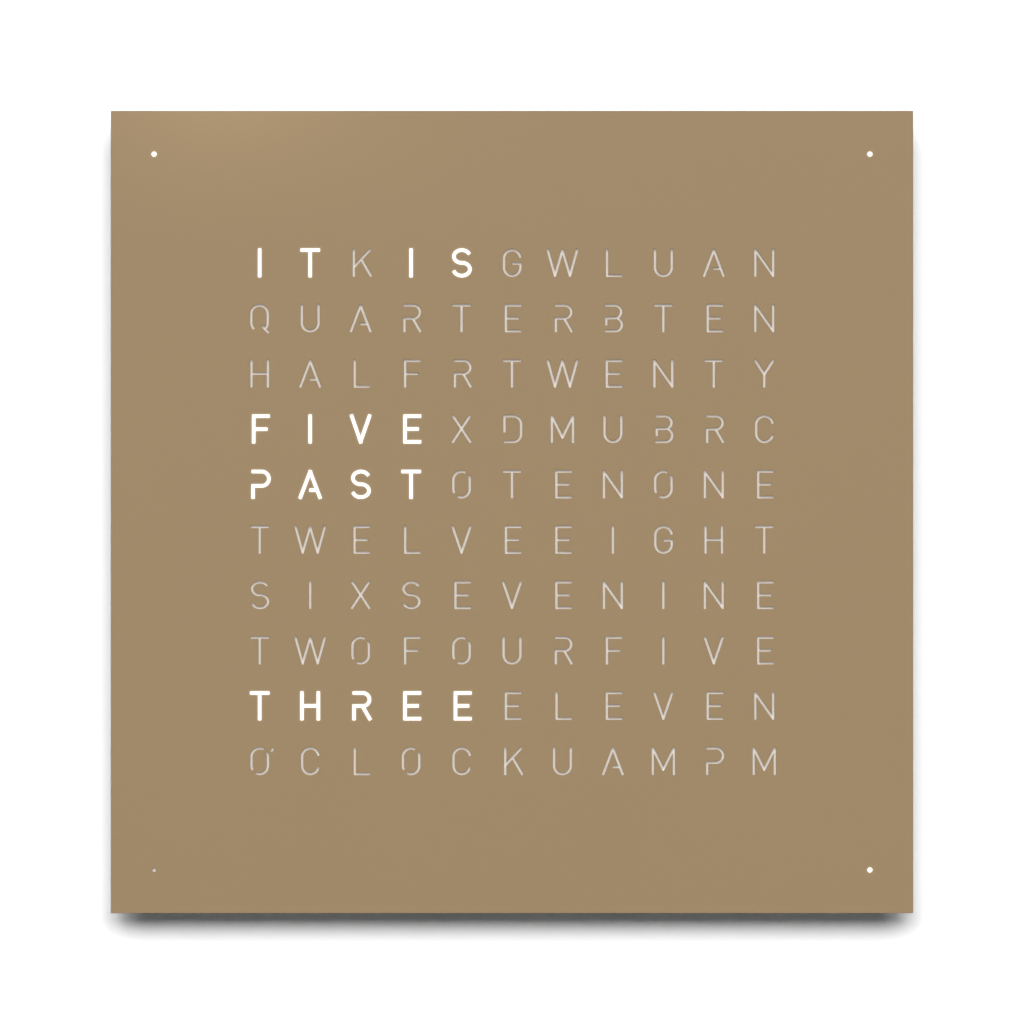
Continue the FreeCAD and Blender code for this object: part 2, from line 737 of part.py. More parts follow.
def make_pillars():
    """Round pillars between the rear panel and the carrier panel."""
    pillars = []
    thread_back = CARRIER_FRONT - CARRIER_SCREW_LENGTH - BLIND_SPARE
    for x, z in pillar_spots():
        post = rod(x, z, PILLAR_RADIUS, PANEL_FRONT, CARRIER_BACK)
        pillars.append(post.cut(rod(x, z, THREAD_RADIUS, thread_back, CARRIER_BACK)))
    return group(pillars)


def make_lamp_board():
    """Circuit board that carries one lamp per letter."""
    board = plate(0, 0, BOARD_HALF_X, BOARD_HALF_Z, BOARD_BACK, GRID_BACK, BOARD_CORNER_ROUND)
    holes = [rod(x, z, PANEL_HOLE_RADIUS, BOARD_BACK, GRID_BACK) for x, z in grid_boss_spots()]
    return board.cut(holes)


def lamp(x, z):
    """Square surface lamp with one clipped corner that marks its polarity."""
    half = LAMP_SIDE / 2
    top = GRID_BACK + LAMP_HEIGHT
    corners = [
        at(x - half, top, z - half),
        at(x + half, top, z - half),
        at(x + half, top, z + half),
        at(x - half + LAMP_MARK, top, z + half),
        at(x - half, top, z + half - LAMP_MARK),
    ]
    return Part.Face(sharp_wire(corners)).extrude(Vector(0, LAMP_HEIGHT, 0))


def make_board_spacers():
    """Tubes that hold the lamp board off the rear panel."""
    spacers = []
    for x, z in grid_boss_spots():
        tube = rod(x, z, SPACER_RADIUS, PANEL_FRONT, BOARD_BACK)
        spacers.append(tube.cut(rod(x, z, PANEL_HOLE_RADIUS, PANEL_FRONT, BOARD_BACK)))
    return group(spacers)


def make_light_cup(side_x, side_z):
    """Funnel that leads one corner lamp's light to its minute dot."""
    x = side_x * DOT_OFFSET
    z = side_z * DOT_OFFSET
    shift = CUP_SHIFT
    half = CUP_OUTER / 2
    flange_back = CARRIER_BACK - CUP_FLANGE_THICK
    flange_half = CUP_FLANGE / 2
    flange = slab(
        x - side_x * shift, z - side_z * shift, flange_half, flange_half, flange_back, CARRIER_BACK
    )
    tube = slab(x, z, half, half, GRID_BACK, flange_back)
    lamp_half = CUP_LAMP_OPENING / 2
    front_half = CUP_FRONT_OPENING / 2
    bore = frustum(x, z, GRID_BACK, lamp_half, lamp_half, CARRIER_BACK, front_half, front_half)
    return flange.fuse(tube).cut(bore).removeSplitter()


def make_corner_board(side_x, side_z):
    """Small circuit board behind one light cup."""
    x = side_x * (DOT_OFFSET - CUP_SHIFT)
    z = side_z * (DOT_OFFSET - CUP_SHIFT)
    half = CUP_FLANGE / 2
    return slab(x, z, half, half, BOARD_BACK, GRID_BACK)


def make_lenses():
    """Opal discs in the carrier panel behind the minute dots."""
    lenses = []
    for side_x, side_z in corner_signs().values():
        lenses.append(
            rod(side_x * DOT_OFFSET, side_z * DOT_OFFSET, LENS_RADIUS, CARRIER_BACK, CARRIER_FRONT)
        )
    return group(lenses)


def make_corner_leads():
    """Leads from each corner board to the lamp board, with one wide bend."""
    depth = GRID_BACK - BOARD_THICK / 2
    leads = []
    for side_x, side_z in corner_signs().values():
        x = side_x * DOT_OFFSET
        start_z = side_z * (DOT_OFFSET - CUP_SHIFT - CUP_FLANGE / 2)
        turn_z = side_z * (abs(start_z) - LEAD_DROP)
        end_x = side_x * BOARD_HALF_X
        run = min(abs(start_z - turn_z), abs(x - end_x))
        radius = 0.45 * run
        diagonal = radius * (1 - math.sqrt(0.5))
        begin = at(x, depth, start_z)
        bend_in = at(x, depth, turn_z + side_z * radius)
        middle = at(x - side_x * diagonal, depth, turn_z + side_z * diagonal)
        bend_out = at(x - side_x * radius, depth, turn_z)
        finish = at(end_x, depth, turn_z)
        path = Part.Wire(
            [
                Part.LineSegment(begin, bend_in).toShape(),
                Part.Arc(bend_in, middle, bend_out).toShape(),
                Part.LineSegment(bend_out, finish).toShape(),
            ]
        )
        section = Part.Wire(Part.makeCircle(LEAD_RADIUS, begin, Vector(0, 0, side_z)))
        tube = path.makePipeShell([section], True, False)
        expected = math.pi * LEAD_RADIUS**2 * path.Length
        print(
            f"lead: bend radius {radius:.1f}, length {path.Length:.1f},"
            f" volume {tube.Volume:.1f} of {expected:.1f}"
        )
        leads.append(tube)
    return group(leads)


def make_control_board():
    """Main circuit board along the bottom of the case."""
    height_half = (CONTROL_TOP - CONTROL_BOTTOM) / 2
    middle = (CONTROL_TOP + CONTROL_BOTTOM) / 2
    board = plate(
        0, middle, CONTROL_WIDTH / 2, height_half, CONTROL_BACK, CONTROL_FRONT, BOARD_CORNER_ROUND
    )
    holes = []
    for x, z in control_screw_spots():
        holes.append(rod(x, z, PANEL_HOLE_RADIUS, CONTROL_BACK, CONTROL_FRONT))
    return board.cut(holes)


def make_control_standoffs():
    """Threaded standoffs on the rear panel under the control board."""
    posts = []
    for x, z in control_screw_spots():
        post = rod(x, z, PILLAR_RADIUS, PANEL_FRONT, CONTROL_BACK)
        posts.append(post.cut(rod(x, z, THREAD_RADIUS, PANEL_FRONT, CONTROL_BACK)))
    return group(posts)


def make_control_screws():
    """Pan head screws of the control board."""
    screws = []
    for x, z in control_screw_spots():
        head = rod(x, z, PAN_HEAD_RADIUS, CONTROL_FRONT, CONTROL_FRONT + PAN_HEAD_HEIGHT)
        shank = rod(x, z, SCREW_RADIUS, PANEL_FRONT + CONTROL_SCREW_TIP_GAP, CONTROL_FRONT)
        screws.append(head.fuse(shank).removeSplitter())
    return group(screws)


def button_places():
    """Distance from the middle of each push button."""
    return [BUTTON_FIRST_X + BUTTON_PITCH * index for index in range(len(BUTTON_NAMES))]


def button_flange_top():
    """Height of the inner face of a button's flange at rest."""
    return WALL_INSIDE + BUTTON_SEAT_GAP + BUTTON_FLANGE_THICK


def make_button(x):
    """Push button: a crowned head through the rail and a flange that keeps it in."""
    low = -BODY_HALF - BUTTON_PROUD
    seat = WALL_INSIDE + BUTTON_SEAT_GAP
    top = button_flange_top()
    start = at(x, EDGE_DEPTH, low)
    rim = at(x + BUTTON_RADIUS, EDGE_DEPTH, low + BUTTON_CROWN)
    crown_point = at(x + BUTTON_RADIUS * 0.6, EDGE_DEPTH, low + BUTTON_CROWN * 0.3)
    neck = at(x + BUTTON_RADIUS, EDGE_DEPTH, seat)
    flange_low = at(x + BUTTON_FLANGE_RADIUS, EDGE_DEPTH, seat)
    flange_high = at(x + BUTTON_FLANGE_RADIUS, EDGE_DEPTH, top)
    centre = at(x, EDGE_DEPTH, top)
    edges = [
        Part.Arc(start, crown_point, rim).toShape(),
        Part.LineSegment(rim, neck).toShape(),
        Part.LineSegment(neck, flange_low).toShape(),
        Part.LineSegment(flange_low, flange_high).toShape(),
        Part.LineSegment(flange_high, centre).toShape(),
        Part.LineSegment(centre, start).toShape(),
    ]
    face = Part.Face(Part.Wire(edges))
    return face.revolve(at(x, EDGE_DEPTH, 0), Vector(0, 0, 1), 360)


def switch_bottom():
    """Height of the switches' lower face."""
    return WALL_INSIDE + SWITCH_GAP


def make_switch(x):
    """Side-acting switch with a well for its plunger."""
    low = switch_bottom()
    body = block(
        x - SWITCH_WIDTH / 2,
        x + SWITCH_WIDTH / 2,
        CONTROL_FRONT,
        CONTROL_FRONT + EDGE_PART_HEIGHT,
        low,
        low + SWITCH_LENGTH,
    )
    well_top = low + SWITCH_ENTRY + BUTTON_TRAVEL + SWITCH_END_GAP
    well = upright(x, EDGE_DEPTH, PLUNGER_RADIUS + PLUNGER_CLEARANCE, low, well_top)
    return body.cut(well)


def make_plunger(x):
    """Plunger between a button and its switch."""
    return upright(
        x, EDGE_DEPTH, PLUNGER_RADIUS, button_flange_top(), switch_bottom() + SWITCH_ENTRY
    )


def make_power_inlet():
    """Barrel inlet with a round nose in the rail and a centre pin."""
    low = -BODY_HALF
    nose_top = WALL_INSIDE + CONTROL_EDGE_GAP
    body = block(
        JACK_X - JACK_WIDTH / 2,
        JACK_X + JACK_WIDTH / 2,
        CONTROL_FRONT,
        CONTROL_FRONT + EDGE_PART_HEIGHT,
        nose_top,
        nose_top + JACK_LENGTH,
    )
    nose = upright(JACK_X, EDGE_DEPTH, JACK_NOSE_RADIUS, low, nose_top)
    mouth = upright(JACK_X, EDGE_DEPTH, JACK_MOUTH_RADIUS, low, low + JACK_MOUTH_DEPTH)
    pin_low = low + JACK_PIN_SETBACK
    pin = upright(JACK_X, EDGE_DEPTH, JACK_PIN_RADIUS, pin_low, low + JACK_MOUTH_DEPTH)
    return body.fuse(nose).cut(mouth).fuse(pin).removeSplitter()


def make_light_sensor():
    """Sensor with a domed tip in the rail and a square holder on the board."""
    low = -BODY_HALF
    shoulder = WALL_INSIDE + SENSOR_HOLDER_GAP
    stem = upright(SENSOR_X, EDGE_DEPTH, SENSOR_RADIUS, low + SENSOR_RADIUS, shoulder)
    dome = Part.makeSphere(SENSOR_RADIUS, at(SENSOR_X, EDGE_DEPTH, low + SENSOR_RADIUS))
    holder = block(
        SENSOR_X - SENSOR_HOLDER_WIDTH / 2,
        SENSOR_X + SENSOR_HOLDER_WIDTH / 2,
        CONTROL_FRONT,
        EDGE_DEPTH + SENSOR_HOLDER_WIDTH / 2,
        shoulder,
        shoulder + SENSOR_HOLDER_LENGTH,
    )
    return stem.fuse([dome, holder]).removeSplitter()


def part_row():
    """Height of the middle of the parts on the control board."""
    return CONTROL_BOTTOM + CHIP_RISE


def make_microcontroller():
    """Flat square chip with bevelled sides."""
    half = CHIP_SIDE / 2
    middle = CONTROL_FRONT + CHIP_THICK / 2
    top = CONTROL_FRONT + CHIP_THICK
    small = half - CHIP_BEVEL
    z = part_row()
    lower = frustum(CHIP_X, z, CONTROL_FRONT, small, small, middle, half, half)
    upper = frustum(CHIP_X, z, middle, half, half, top, small, small)
    return lower.fuse(upper)


def make_clock_crystal():
    """Oval can that sets the clock's pace."""
    half = CRYSTAL_LENGTH / 2
    end = CRYSTAL_WIDTH / 2
    top = CONTROL_FRONT + CRYSTAL_THICK
    z = part_row()
    straight = slab(CRYSTAL_X, z, half - end, end, CONTROL_FRONT, top)
    left = rod(CRYSTAL_X - half + end, z, end, CONTROL_FRONT, top)
    right = rod(CRYSTAL_X + half - end, z, end, CONTROL_FRONT, top)
    return straight.fuse([left, right]).removeSplitter()


def make_capacitor():
    """Round can on a square base."""
    z = part_row()
    base_top = CONTROL_FRONT + CAPACITOR_BASE
    top = CONTROL_FRONT + CAPACITOR_LENGTH
    base = slab(CAPACITOR_X, z, CAPACITOR_RADIUS, CAPACITOR_RADIUS, CONTROL_FRONT, base_top)
    can = rod(CAPACITOR_X, z, CAPACITOR_RADIUS, base_top, top)
    return base.fuse(can)


def make_regulator():
    """Power regulator with its flat tab."""
    z = part_row()
    half = REGULATOR_WIDTH / 2
    length_half = REGULATOR_LENGTH / 2
    tab_top = CONTROL_FRONT + REGULATOR_TAB
    top = CONTROL_FRONT + REGULATOR_THICK
    tab = slab(REGULATOR_X, z, half / 2, length_half, CONTROL_FRONT, tab_top)
    body = slab(REGULATOR_X, z, half, length_half / 2, CONTROL_FRONT, top)
    return tab.fuse(body).removeSplitter()


def make_cell_holder():
    """Open holder for the backup cell, with a gap to push the cell out."""
    z = part_row()
    half = HOLDER_SIDE / 2
    floor_top = CONTROL_FRONT + HOLDER_FLOOR
    top = CONTROL_FRONT + HOLDER_THICK
    body = slab(HOLDER_X, z, half, half, CONTROL_FRONT, top)
    pocket = rod(HOLDER_X, z, CELL_RADIUS + CELL_CLEARANCE, floor_top, top)
    gap = slab(HOLDER_X, z + half, HOLDER_LIP_CUT / 2, half, floor_top, top)
    return body.cut([pocket, gap])


def make_backup_cell():
    """Coin cell that keeps the time when the power is off."""
    floor_top = CONTROL_FRONT + HOLDER_FLOOR
    return rod(HOLDER_X, part_row(), CELL_RADIUS, floor_top, floor_top + CELL_THICK)


def lamp_socket_top():
    """Height of the lamp board socket's upper face."""
    return -BOARD_HALF_Z + LINK_INSET + SOCKET_LENGTH


def make_link_sockets():
    """Ribbon sockets, one behind the lamp board and one on the control board."""
    half = SOCKET_WIDTH / 2
    lamp_top = lamp_socket_top()
    lamp_side = block(
        LINK_X - half,
        LINK_X + half,
        BOARD_BACK - SOCKET_THICK,
        BOARD_BACK,
        lamp_top - SOCKET_LENGTH,
        lamp_top,
    )
    control_top = CONTROL_TOP - BOARD_CORNER_ROUND
    control_side = block(
        LINK_X - half,
        LINK_X + half,
        CONTROL_FRONT,
        CONTROL_FRONT + SOCKET_THICK,
        control_top - SOCKET_LENGTH,
        control_top,
    )
    return group([lamp_side, control_side])


def ribbon_side(start, finish):
    """Smooth S from one socket down to the other, square to both."""
    bend = Vector(0, 0, (finish.z - start.z) / 2)
    curve = Part.BezierCurve()
    curve.setPoles([start, start + bend, finish - bend, finish])
    return curve.toShape()


def make_link_cable():
    """Flat ribbon between the two sockets, bent from one board's depth to the other's."""
    x = LINK_X - LINK_WIDTH / 2
    half = LINK_THICK / 2
    upper = -BOARD_HALF_Z + LINK_INSET
    lower = CONTROL_TOP - BOARD_CORNER_ROUND
    upper_depth = BOARD_BACK - SOCKET_THICK / 2
    lower_depth = CONTROL_FRONT + SOCKET_THICK / 2
    upper_front = at(x, upper_depth + half, upper)
    upper_back = at(x, upper_depth - half, upper)
    lower_front = at(x, lower_depth + half, lower)
    lower_back = at(x, lower_depth - half, lower)
    outline = Part.Wire(
        [
            ribbon_side(upper_front, lower_front),
            Part.LineSegment(lower_front, lower_back).toShape(),
            ribbon_side(lower_back, upper_back),
            Part.LineSegment(upper_back, upper_front).toShape(),
        ]
    )
    return Part.Face(outline).extrude(Vector(LINK_WIDTH, 0, 0))


def build():
    """Every piece of the clock, by name."""
    parts = {}
    parts["front_cover"] = make_front_cover()
    parts["cover_studs"] = make_cover_studs()
    parts["rail_top"] = make_rail(0, False)
    parts["rail_right"] = make_rail(1, True)
    parts["rail_bottom"] = make_rail(2, False).cut(edge_holes() + [ledge_notch()])
    parts["rail_left"] = make_rail(3, True)
    for quarters, corner in enumerate(corner_signs()):
        parts["corner_bracket_" + corner] = make_corner_bracket(quarters)
    parts["bracket_screws"] = make_bracket_screws()
    parts["cover_magnets"] = make_magnets()
    parts["rear_panel"] = make_rear_panel()
    panel_screws = [rear_screw(x, z, PANEL_SCREW_LENGTH) for x, z in panel_screw_spots()]
    parts["rear_panel_screws"] = group(panel_screws)
    parts["wall_pads"] = make_wall_pads()
    parts["carrier_panel"] = make_carrier_panel()
    parts["carrier_pillars"] = make_pillars()
    parts["carrier_screws"] = group([carrier_screw(x, z) for x, z in pillar_spots()])
    parts["opal_sheet"] = make_opal_sheet()
    parts["light_grid"] = make_light_grid()
    parts["lamp_board"] = make_lamp_board()
    parts["letter_lamps"] = group([lamp(x, z) for x, z in cell_centres()])
    parts["board_spacers"] = make_board_spacers()
    grid_screws = [rear_screw(x, z, GRID_SCREW_LENGTH) for x, z in grid_boss_spots()]
    parts["grid_screws"] = group(grid_screws)
    corner_lamps = []
    for corner, (side_x, side_z) in corner_signs().items():
        parts["light_cup_" + corner] = make_light_cup(side_x, side_z)
        parts["corner_board_" + corner] = make_corner_board(side_x, side_z)
        corner_lamps.append(lamp(side_x * DOT_OFFSET, side_z * DOT_OFFSET))
    parts["corner_lamps"] = group(corner_lamps)
    parts["minute_lenses"] = make_lenses()
    parts["corner_leads"] = make_corner_leads()
    parts["control_board"] = make_control_board()
    parts["control_standoffs"] = make_control_standoffs()
    parts["control_screws"] = make_control_screws()
    parts["microcontroller"] = make_microcontroller()
    parts["clock_crystal"] = make_clock_crystal()
    parts["capacitor"] = make_capacitor()
    parts["regulator"] = make_regulator()
    parts["cell_holder"] = make_cell_holder()
    parts["backup_cell"] = make_backup_cell()
    parts["link_sockets"] = make_link_sockets()
    parts["link_cable"] = make_link_cable()
    parts["power_inlet"] = make_power_inlet()
    parts["light_sensor"] = make_light_sensor()
    for name, x in zip(BUTTON_NAMES, button_places()):
        parts["button_" + name] = make_button(x)
        parts["plunger_" + name] = make_plunger(x)
        parts["switch_" + name] = make_switch(x)
    return parts


def main():
    """Write one file per piece."""
    os.makedirs("parts", exist_ok=True)
    for name, shape in build().items():
        if not shape.isValid():
            raise ValueError(f"{name} isn't a valid shape")
        shape.exportStep(f"parts/{name}.step")
        print(f"{name}: {len(shape.Solids)} solids, {len(shape.Faces)} faces")


main()
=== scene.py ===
"""The looks of a square word clock: its finishes, lettered cover, lit opal sheet and studio.

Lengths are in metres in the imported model's frame: +X is right, +Z is up, the face looks along -Y
and the wall is the plane y = 0. A depth is a distance in front of the wall.
"""

import logging
import math
from abc import ABC, abstractmethod
from collections.abc import Iterable, Sequence
from dataclasses import dataclass, field
from enum import Enum

import bpy
import numpy as np
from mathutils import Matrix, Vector
from mathutils.geometry import delaunay_2d_cdt


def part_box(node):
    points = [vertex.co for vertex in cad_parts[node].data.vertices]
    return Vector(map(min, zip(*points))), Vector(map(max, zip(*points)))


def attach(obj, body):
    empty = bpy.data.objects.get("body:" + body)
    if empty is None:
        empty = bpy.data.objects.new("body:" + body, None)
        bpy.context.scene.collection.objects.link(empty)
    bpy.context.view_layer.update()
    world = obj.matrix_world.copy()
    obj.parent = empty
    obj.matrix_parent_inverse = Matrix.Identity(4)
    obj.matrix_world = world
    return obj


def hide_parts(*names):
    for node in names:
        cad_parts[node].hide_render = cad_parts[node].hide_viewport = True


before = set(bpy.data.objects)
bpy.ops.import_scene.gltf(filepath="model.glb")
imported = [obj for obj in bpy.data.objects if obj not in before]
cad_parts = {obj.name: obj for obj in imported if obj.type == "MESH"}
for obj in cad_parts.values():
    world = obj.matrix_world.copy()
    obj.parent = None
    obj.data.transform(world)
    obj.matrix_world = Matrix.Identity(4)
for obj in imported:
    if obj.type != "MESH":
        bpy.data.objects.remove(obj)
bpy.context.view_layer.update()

MM = 0.001
LATTICE = MM / 4096  # single precision counts these steps exactly up to 4 m
WORD_ROWS = (
    "ITKISGWLUAN",
    "QUARTERBTEN",
    "HALFRTWENTY",
    "FIVEXDMUBRC",
    "PASTOTENONE",
    "TWELVEEIGHT",
    "SIXSEVENINE",
    "TWOFOURFIVE",
    "THREEELEVEN",
    "'CLOCKUAMPM",
)
LIT_CELLS = {0: (0, 1, 3, 4), 3: (0, 1, 2, 3), 4: (0, 1, 2, 3), 8: (0, 1, 2, 3, 4)}
UNLIT_CORNERS = {(-1, -1)}
CORNERS = ((-1, 1), (1, 1), (1, -1), (-1, -1))
CORNER_NAMES = ("top_left", "top_right", "bottom_right", "bottom_left")
WAVE_SPAN = 0.314  # width of one band of Blender's wave pattern at a scale of 1

Colour = tuple[float, float, float]
Value = bpy.types.NodeSocket | float
Tint = bpy.types.NodeSocket | Colour
Path = np.ndarray
log = logging.getLogger("word_clock")


def node_place(node: str) -> tuple[np.ndarray, np.ndarray]:
    """Lowest and highest corner of a CAD node as arrays."""
    low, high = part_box(node)
    return np.array(low), np.array(high)


class Grain(Enum):
    """How a noise is stretched, so that its marks run along one axis."""

    EVEN = (1.0, 1.0, 1.0)
    ALONG_X = (0.02, 1.0, 1.0)
    ALONG_Z = (1.0, 1.0, 0.02)


class Recipe:
    """One material's node tree, with short calls for the nodes that the finishes share."""

    def __init__(self, name: str) -> None:
        """Start a tree that holds one Principled shader.

        Args:
            name: the material's name.
        """
        self.material = bpy.data.materials.new(name)
        self.material.use_nodes = True
        self.tree = self.material.node_tree
        self.tree.nodes.clear()
        self.output = self.add("ShaderNodeOutputMaterial")
        self.shader = self.add("ShaderNodeBsdfPrincipled")
        self.join(self.shader.outputs["BSDF"], self.output.inputs["Surface"])
        self.place = self.add("ShaderNodeTexCoord").outputs["Object"]

    def add(self, kind: str, **settings: object) -> bpy.types.Node:
        """Add a node.

        Args:
            kind: Blender's name of the node type.
            settings: properties to set on the node.

        Returns:
            The new node.
        """
        node = self.tree.nodes.new(kind)
        for key, value in settings.items():
            setattr(node, key, value)
        return node

    def join(self, source: bpy.types.NodeSocket, target: bpy.types.NodeSocket) -> None:
        """Link one socket to another."""
        self.tree.links.new(source, target)

    def fix(self, **values: object) -> None:
        """Set plain values on the shader's own sockets.

        Args:
            values: value of each socket, under its name with underscores for spaces.
        """
        for key, value in values.items():
            socket = self.shader.inputs[key.replace("_", " ")]
            if isinstance(value, tuple):
                value = (*value, 1.0)
            socket.default_value = value

    def feed(self, source: bpy.types.NodeSocket, socket: str) -> None:
        """Link a pattern to one of the shader's sockets."""
        self.join(source, self.shader.inputs[socket])

    def math(self, kind: str, *values: Value) -> bpy.types.NodeSocket:
        """Combine values.

        Args:
            kind: the operation.
            values: up to three sockets or numbers.

        Returns:
            The result's socket.
        """
        node = self.add("ShaderNodeMath", operation=kind)
        for socket, value in zip(node.inputs, values):
            if isinstance(value, bpy.types.NodeSocket):
                self.join(value, socket)
            else:
                socket.default_value = value
        return node.outputs[0]

    def noise(
        self, size: float, detail: float = 2.0, grain: Grain = Grain.EVEN
    ) -> bpy.types.NodeSocket:
        """Cloudy pattern from 0 to 1.

        Args:
            size: about the width of one cloud.
            detail: how many finer layers it has.
            grain: which way it is drawn out.

        Returns:
            The pattern's socket.
        """
        mapping = self.add("ShaderNodeMapping")
        mapping.inputs["Scale"].default_value = grain.value
        self.join(self.place, mapping.inputs["Vector"])
        node = self.add("ShaderNodeTexNoise")
        node.inputs["Scale"].default_value = 1.0 / size
        node.inputs["Detail"].default_value = detail
        self.join(mapping.outputs["Vector"], node.inputs["Vector"])
        return node.outputs["Fac"]

    def spread(
        self, pattern: bpy.types.NodeSocket, low: float, high: float, start: float = 0.3
    ) -> bpy.types.NodeSocket:
        """Map a pattern's middle part onto a range of values.

        Args:
            pattern: the pattern's socket.
            low: value where the pattern is at `start` or less.
            high: value where the pattern is at 1 - `start` or more.
            start: lower end of the part that is used.

        Returns:
            The mapped value's socket.
        """
        node = self.add("ShaderNodeMapRange")
        values = {"From Min": start, "From Max": 1.0 - start, "To Min": low, "To Max": high}
        for key, value in values.items():
            node.inputs[key].default_value = value
        self.join(pattern, node.inputs["Value"])
        return node.outputs["Result"]

    def swing(
        self, pattern: bpy.types.NodeSocket, middle: float, reach: float
    ) -> bpy.types.NodeSocket:
        """Value that wanders as far as `reach` below and above its middle with a pattern."""
        return self.spread(pattern, middle - reach, middle + reach)

    def mixture(
        self, first: bpy.types.NodeSocket, second: bpy.types.NodeSocket, share: float
    ) -> bpy.types.NodeSocket:
        """Pattern of share x first + (1 - share) x second."""
        rest = self.math("MULTIPLY", second, 1.0 - share)
        return self.math("ADD", self.math("MULTIPLY", first, share), rest)

    def blend(
        self, factor: bpy.types.NodeSocket, first: Tint, second: Tint
    ) -> bpy.types.NodeSocket:
        """Colour between two colours.

        Args:
            factor: 0 for the first colour and 1 for the second.
            first: a colour or a colour socket.
            second: a colour or a colour socket.

        Returns:
            The blended colour's socket.
        """
        node = self.add("ShaderNodeMix", data_type="RGBA")
        self.join(factor, node.inputs["Factor"])
        for name, value in (("A", first), ("B", second)):
            socket = next(s for s in node.inputs if s.name == name and s.type == "RGBA")
            if isinstance(value, bpy.types.NodeSocket):
                self.join(value, socket)
            else:
                socket.default_value = (*value, 1.0)
        return next(s for s in node.outputs if s.type == "RGBA")

    def mottle(
        self, pattern: bpy.types.NodeSocket, colour: Colour, share: float
    ) -> bpy.types.NodeSocket:
        """Colour that wanders a share below and above its middle with a pattern.

        Args:
            pattern: the pattern's socket.
            colour: the middle colour.
            share: how far it goes to either side, as a part of the colour.

        Returns:
            The colour's socket.
        """
        dark = tuple(part * (1.0 - share) for part in colour)
        light = tuple(part * (1.0 + share) for part in colour)
        return self.blend(self.spread(pattern, 0.0, 1.0), dark, light)

    def relief(
        self,
        height: bpy.types.NodeSocket,
        depth: float,
        below: bpy.types.NodeSocket | None = None,
    ) -> bpy.types.NodeSocket:
        """Fine relief on the shader's normal.

        Args:
            height: pattern from 0 to 1.
            depth: real height of the relief.
            below: normal of a coarser relief that this one lies on.

        Returns:
            The normal's socket.
        """
        node = self.add("ShaderNodeBump")
        node.inputs["Strength"].default_value = 1.0
        node.inputs["Distance"].default_value = depth
        self.join(height, node.inputs["Height"])
        if below is not None:
            self.join(below, node.inputs["Normal"])
        self.feed(node.outputs["Normal"], "Normal")
        return node.outputs["Normal"]


class Finish(ABC):
    """A surface treatment that is made into one material when it is first used."""

    name: str

    @abstractmethod
    def dress(self, recipe: Recipe) -> None:
        """Fill a recipe with this finish."""

    def material(self) -> bpy.types.Material:
        """The finish's material, made the first time it is asked for.

        Returns:
            The material.
        """
        known = bpy.data.materials.get(self.name)
        if known is None:
            recipe = Recipe(self.name)
            self.dress(recipe)
            known = recipe.material
        return known


@dataclass(frozen=True)
class PowderCoat(Finish):
    """Baked powder on sheet steel: fine grains over a faint orange peel."""

    name: str
    colour: Colour
    roughness: float = 0.5
    grain_size: float = 0.55 * MM
    grain_height: float = 0.018 * MM
    peel_size: float = 2.4 * MM
    peel_height: float = 0.006 * MM
    cloud_size: float = 90 * MM
    cloud_share: float = 0.55
    gloss_size: float = 6 * MM
    gloss_reach: float = 0.03
    share: float = 0.008
    shine: float = 0.25
    # colour of the painted glow round lit slots, or none
    glow: Colour | None = None
    glow_strength: float = 0.13
    glow_power: float = 2.2

    def dress(self, recipe: Recipe) -> None:
        """Mottled colour, uneven gloss, two layers of relief and a painted glow round lit slots.

        The attribute `glow` marks the painted glow: it goes from 0 to 1 towards a lit slot. The
        emission, a painted glow that stands in for the lamps' bloom, has the strength `glow` to the
        power `glow_power`, times `glow_strength`.

        Args:
            recipe: the material's tree.
        """
        cloud = recipe.noise(self.cloud_size, 3.0)
        speck = recipe.noise(self.grain_size, 1.0)
        mixed = recipe.mixture(cloud, speck, self.cloud_share)
        recipe.feed(recipe.mottle(mixed, self.colour, self.share), "Base Color")
        gloss = recipe.noise(self.gloss_size, 2.0)
        recipe.feed(recipe.swing(gloss, self.roughness, self.gloss_reach), "Roughness")
        recipe.fix(Specular_IOR_Level=self.shine)
        peel = recipe.relief(recipe.noise(self.peel_size, 1.0), self.peel_height)
        recipe.relief(recipe.noise(self.grain_size, 2.0), self.grain_height, peel)
        # painted glow: emission on the coat round lit slots, standing in for the lamps' bloom
        if self.glow is not None:
            caught = recipe.add("ShaderNodeAttribute", attribute_name="glow")
            curve = recipe.math("POWER", caught.outputs["Fac"], self.glow_power)
            recipe.fix(Emission_Color=self.glow)
            recipe.feed(recipe.math("MULTIPLY", curve, self.glow_strength), "Emission Strength")


@dataclass(frozen=True)
class Metal(Finish):
    """Bare or plated metal with fine lines, or an even satin, under broader streaks."""

    name: str
    colour: Colour
    roughness: float
    grain: Grain = Grain.EVEN
    line_size: float = 0.25 * MM
    line_height: float = 0.004 * MM
    streak_size: float = 1.8 * MM
    share: float = 0.05
    cloud_size: float = 25 * MM
    fine_share: float = 0.6
    gloss_reach: float = 0.07

    def dress(self, recipe: Recipe) -> None:
        """Metal whose tone follows its streaks, and its gloss and relief its fine lines.

        Args:
            recipe: the material's tree.
        """
        lines = recipe.noise(self.line_size, 3.0, self.grain)
        streaks = recipe.noise(self.streak_size, 3.0, self.grain)
        cloud = recipe.noise(self.cloud_size, 2.0)
        tone = recipe.mixture(streaks, cloud, self.fine_share)
        recipe.feed(recipe.mottle(tone, self.colour, self.share), "Base Color")
        recipe.fix(Metallic=1.0)
        gloss = recipe.mixture(lines, streaks, self.fine_share)
        recipe.feed(recipe.swing(gloss, self.roughness, self.gloss_reach), "Roughness")
        recipe.relief(lines, self.line_height)


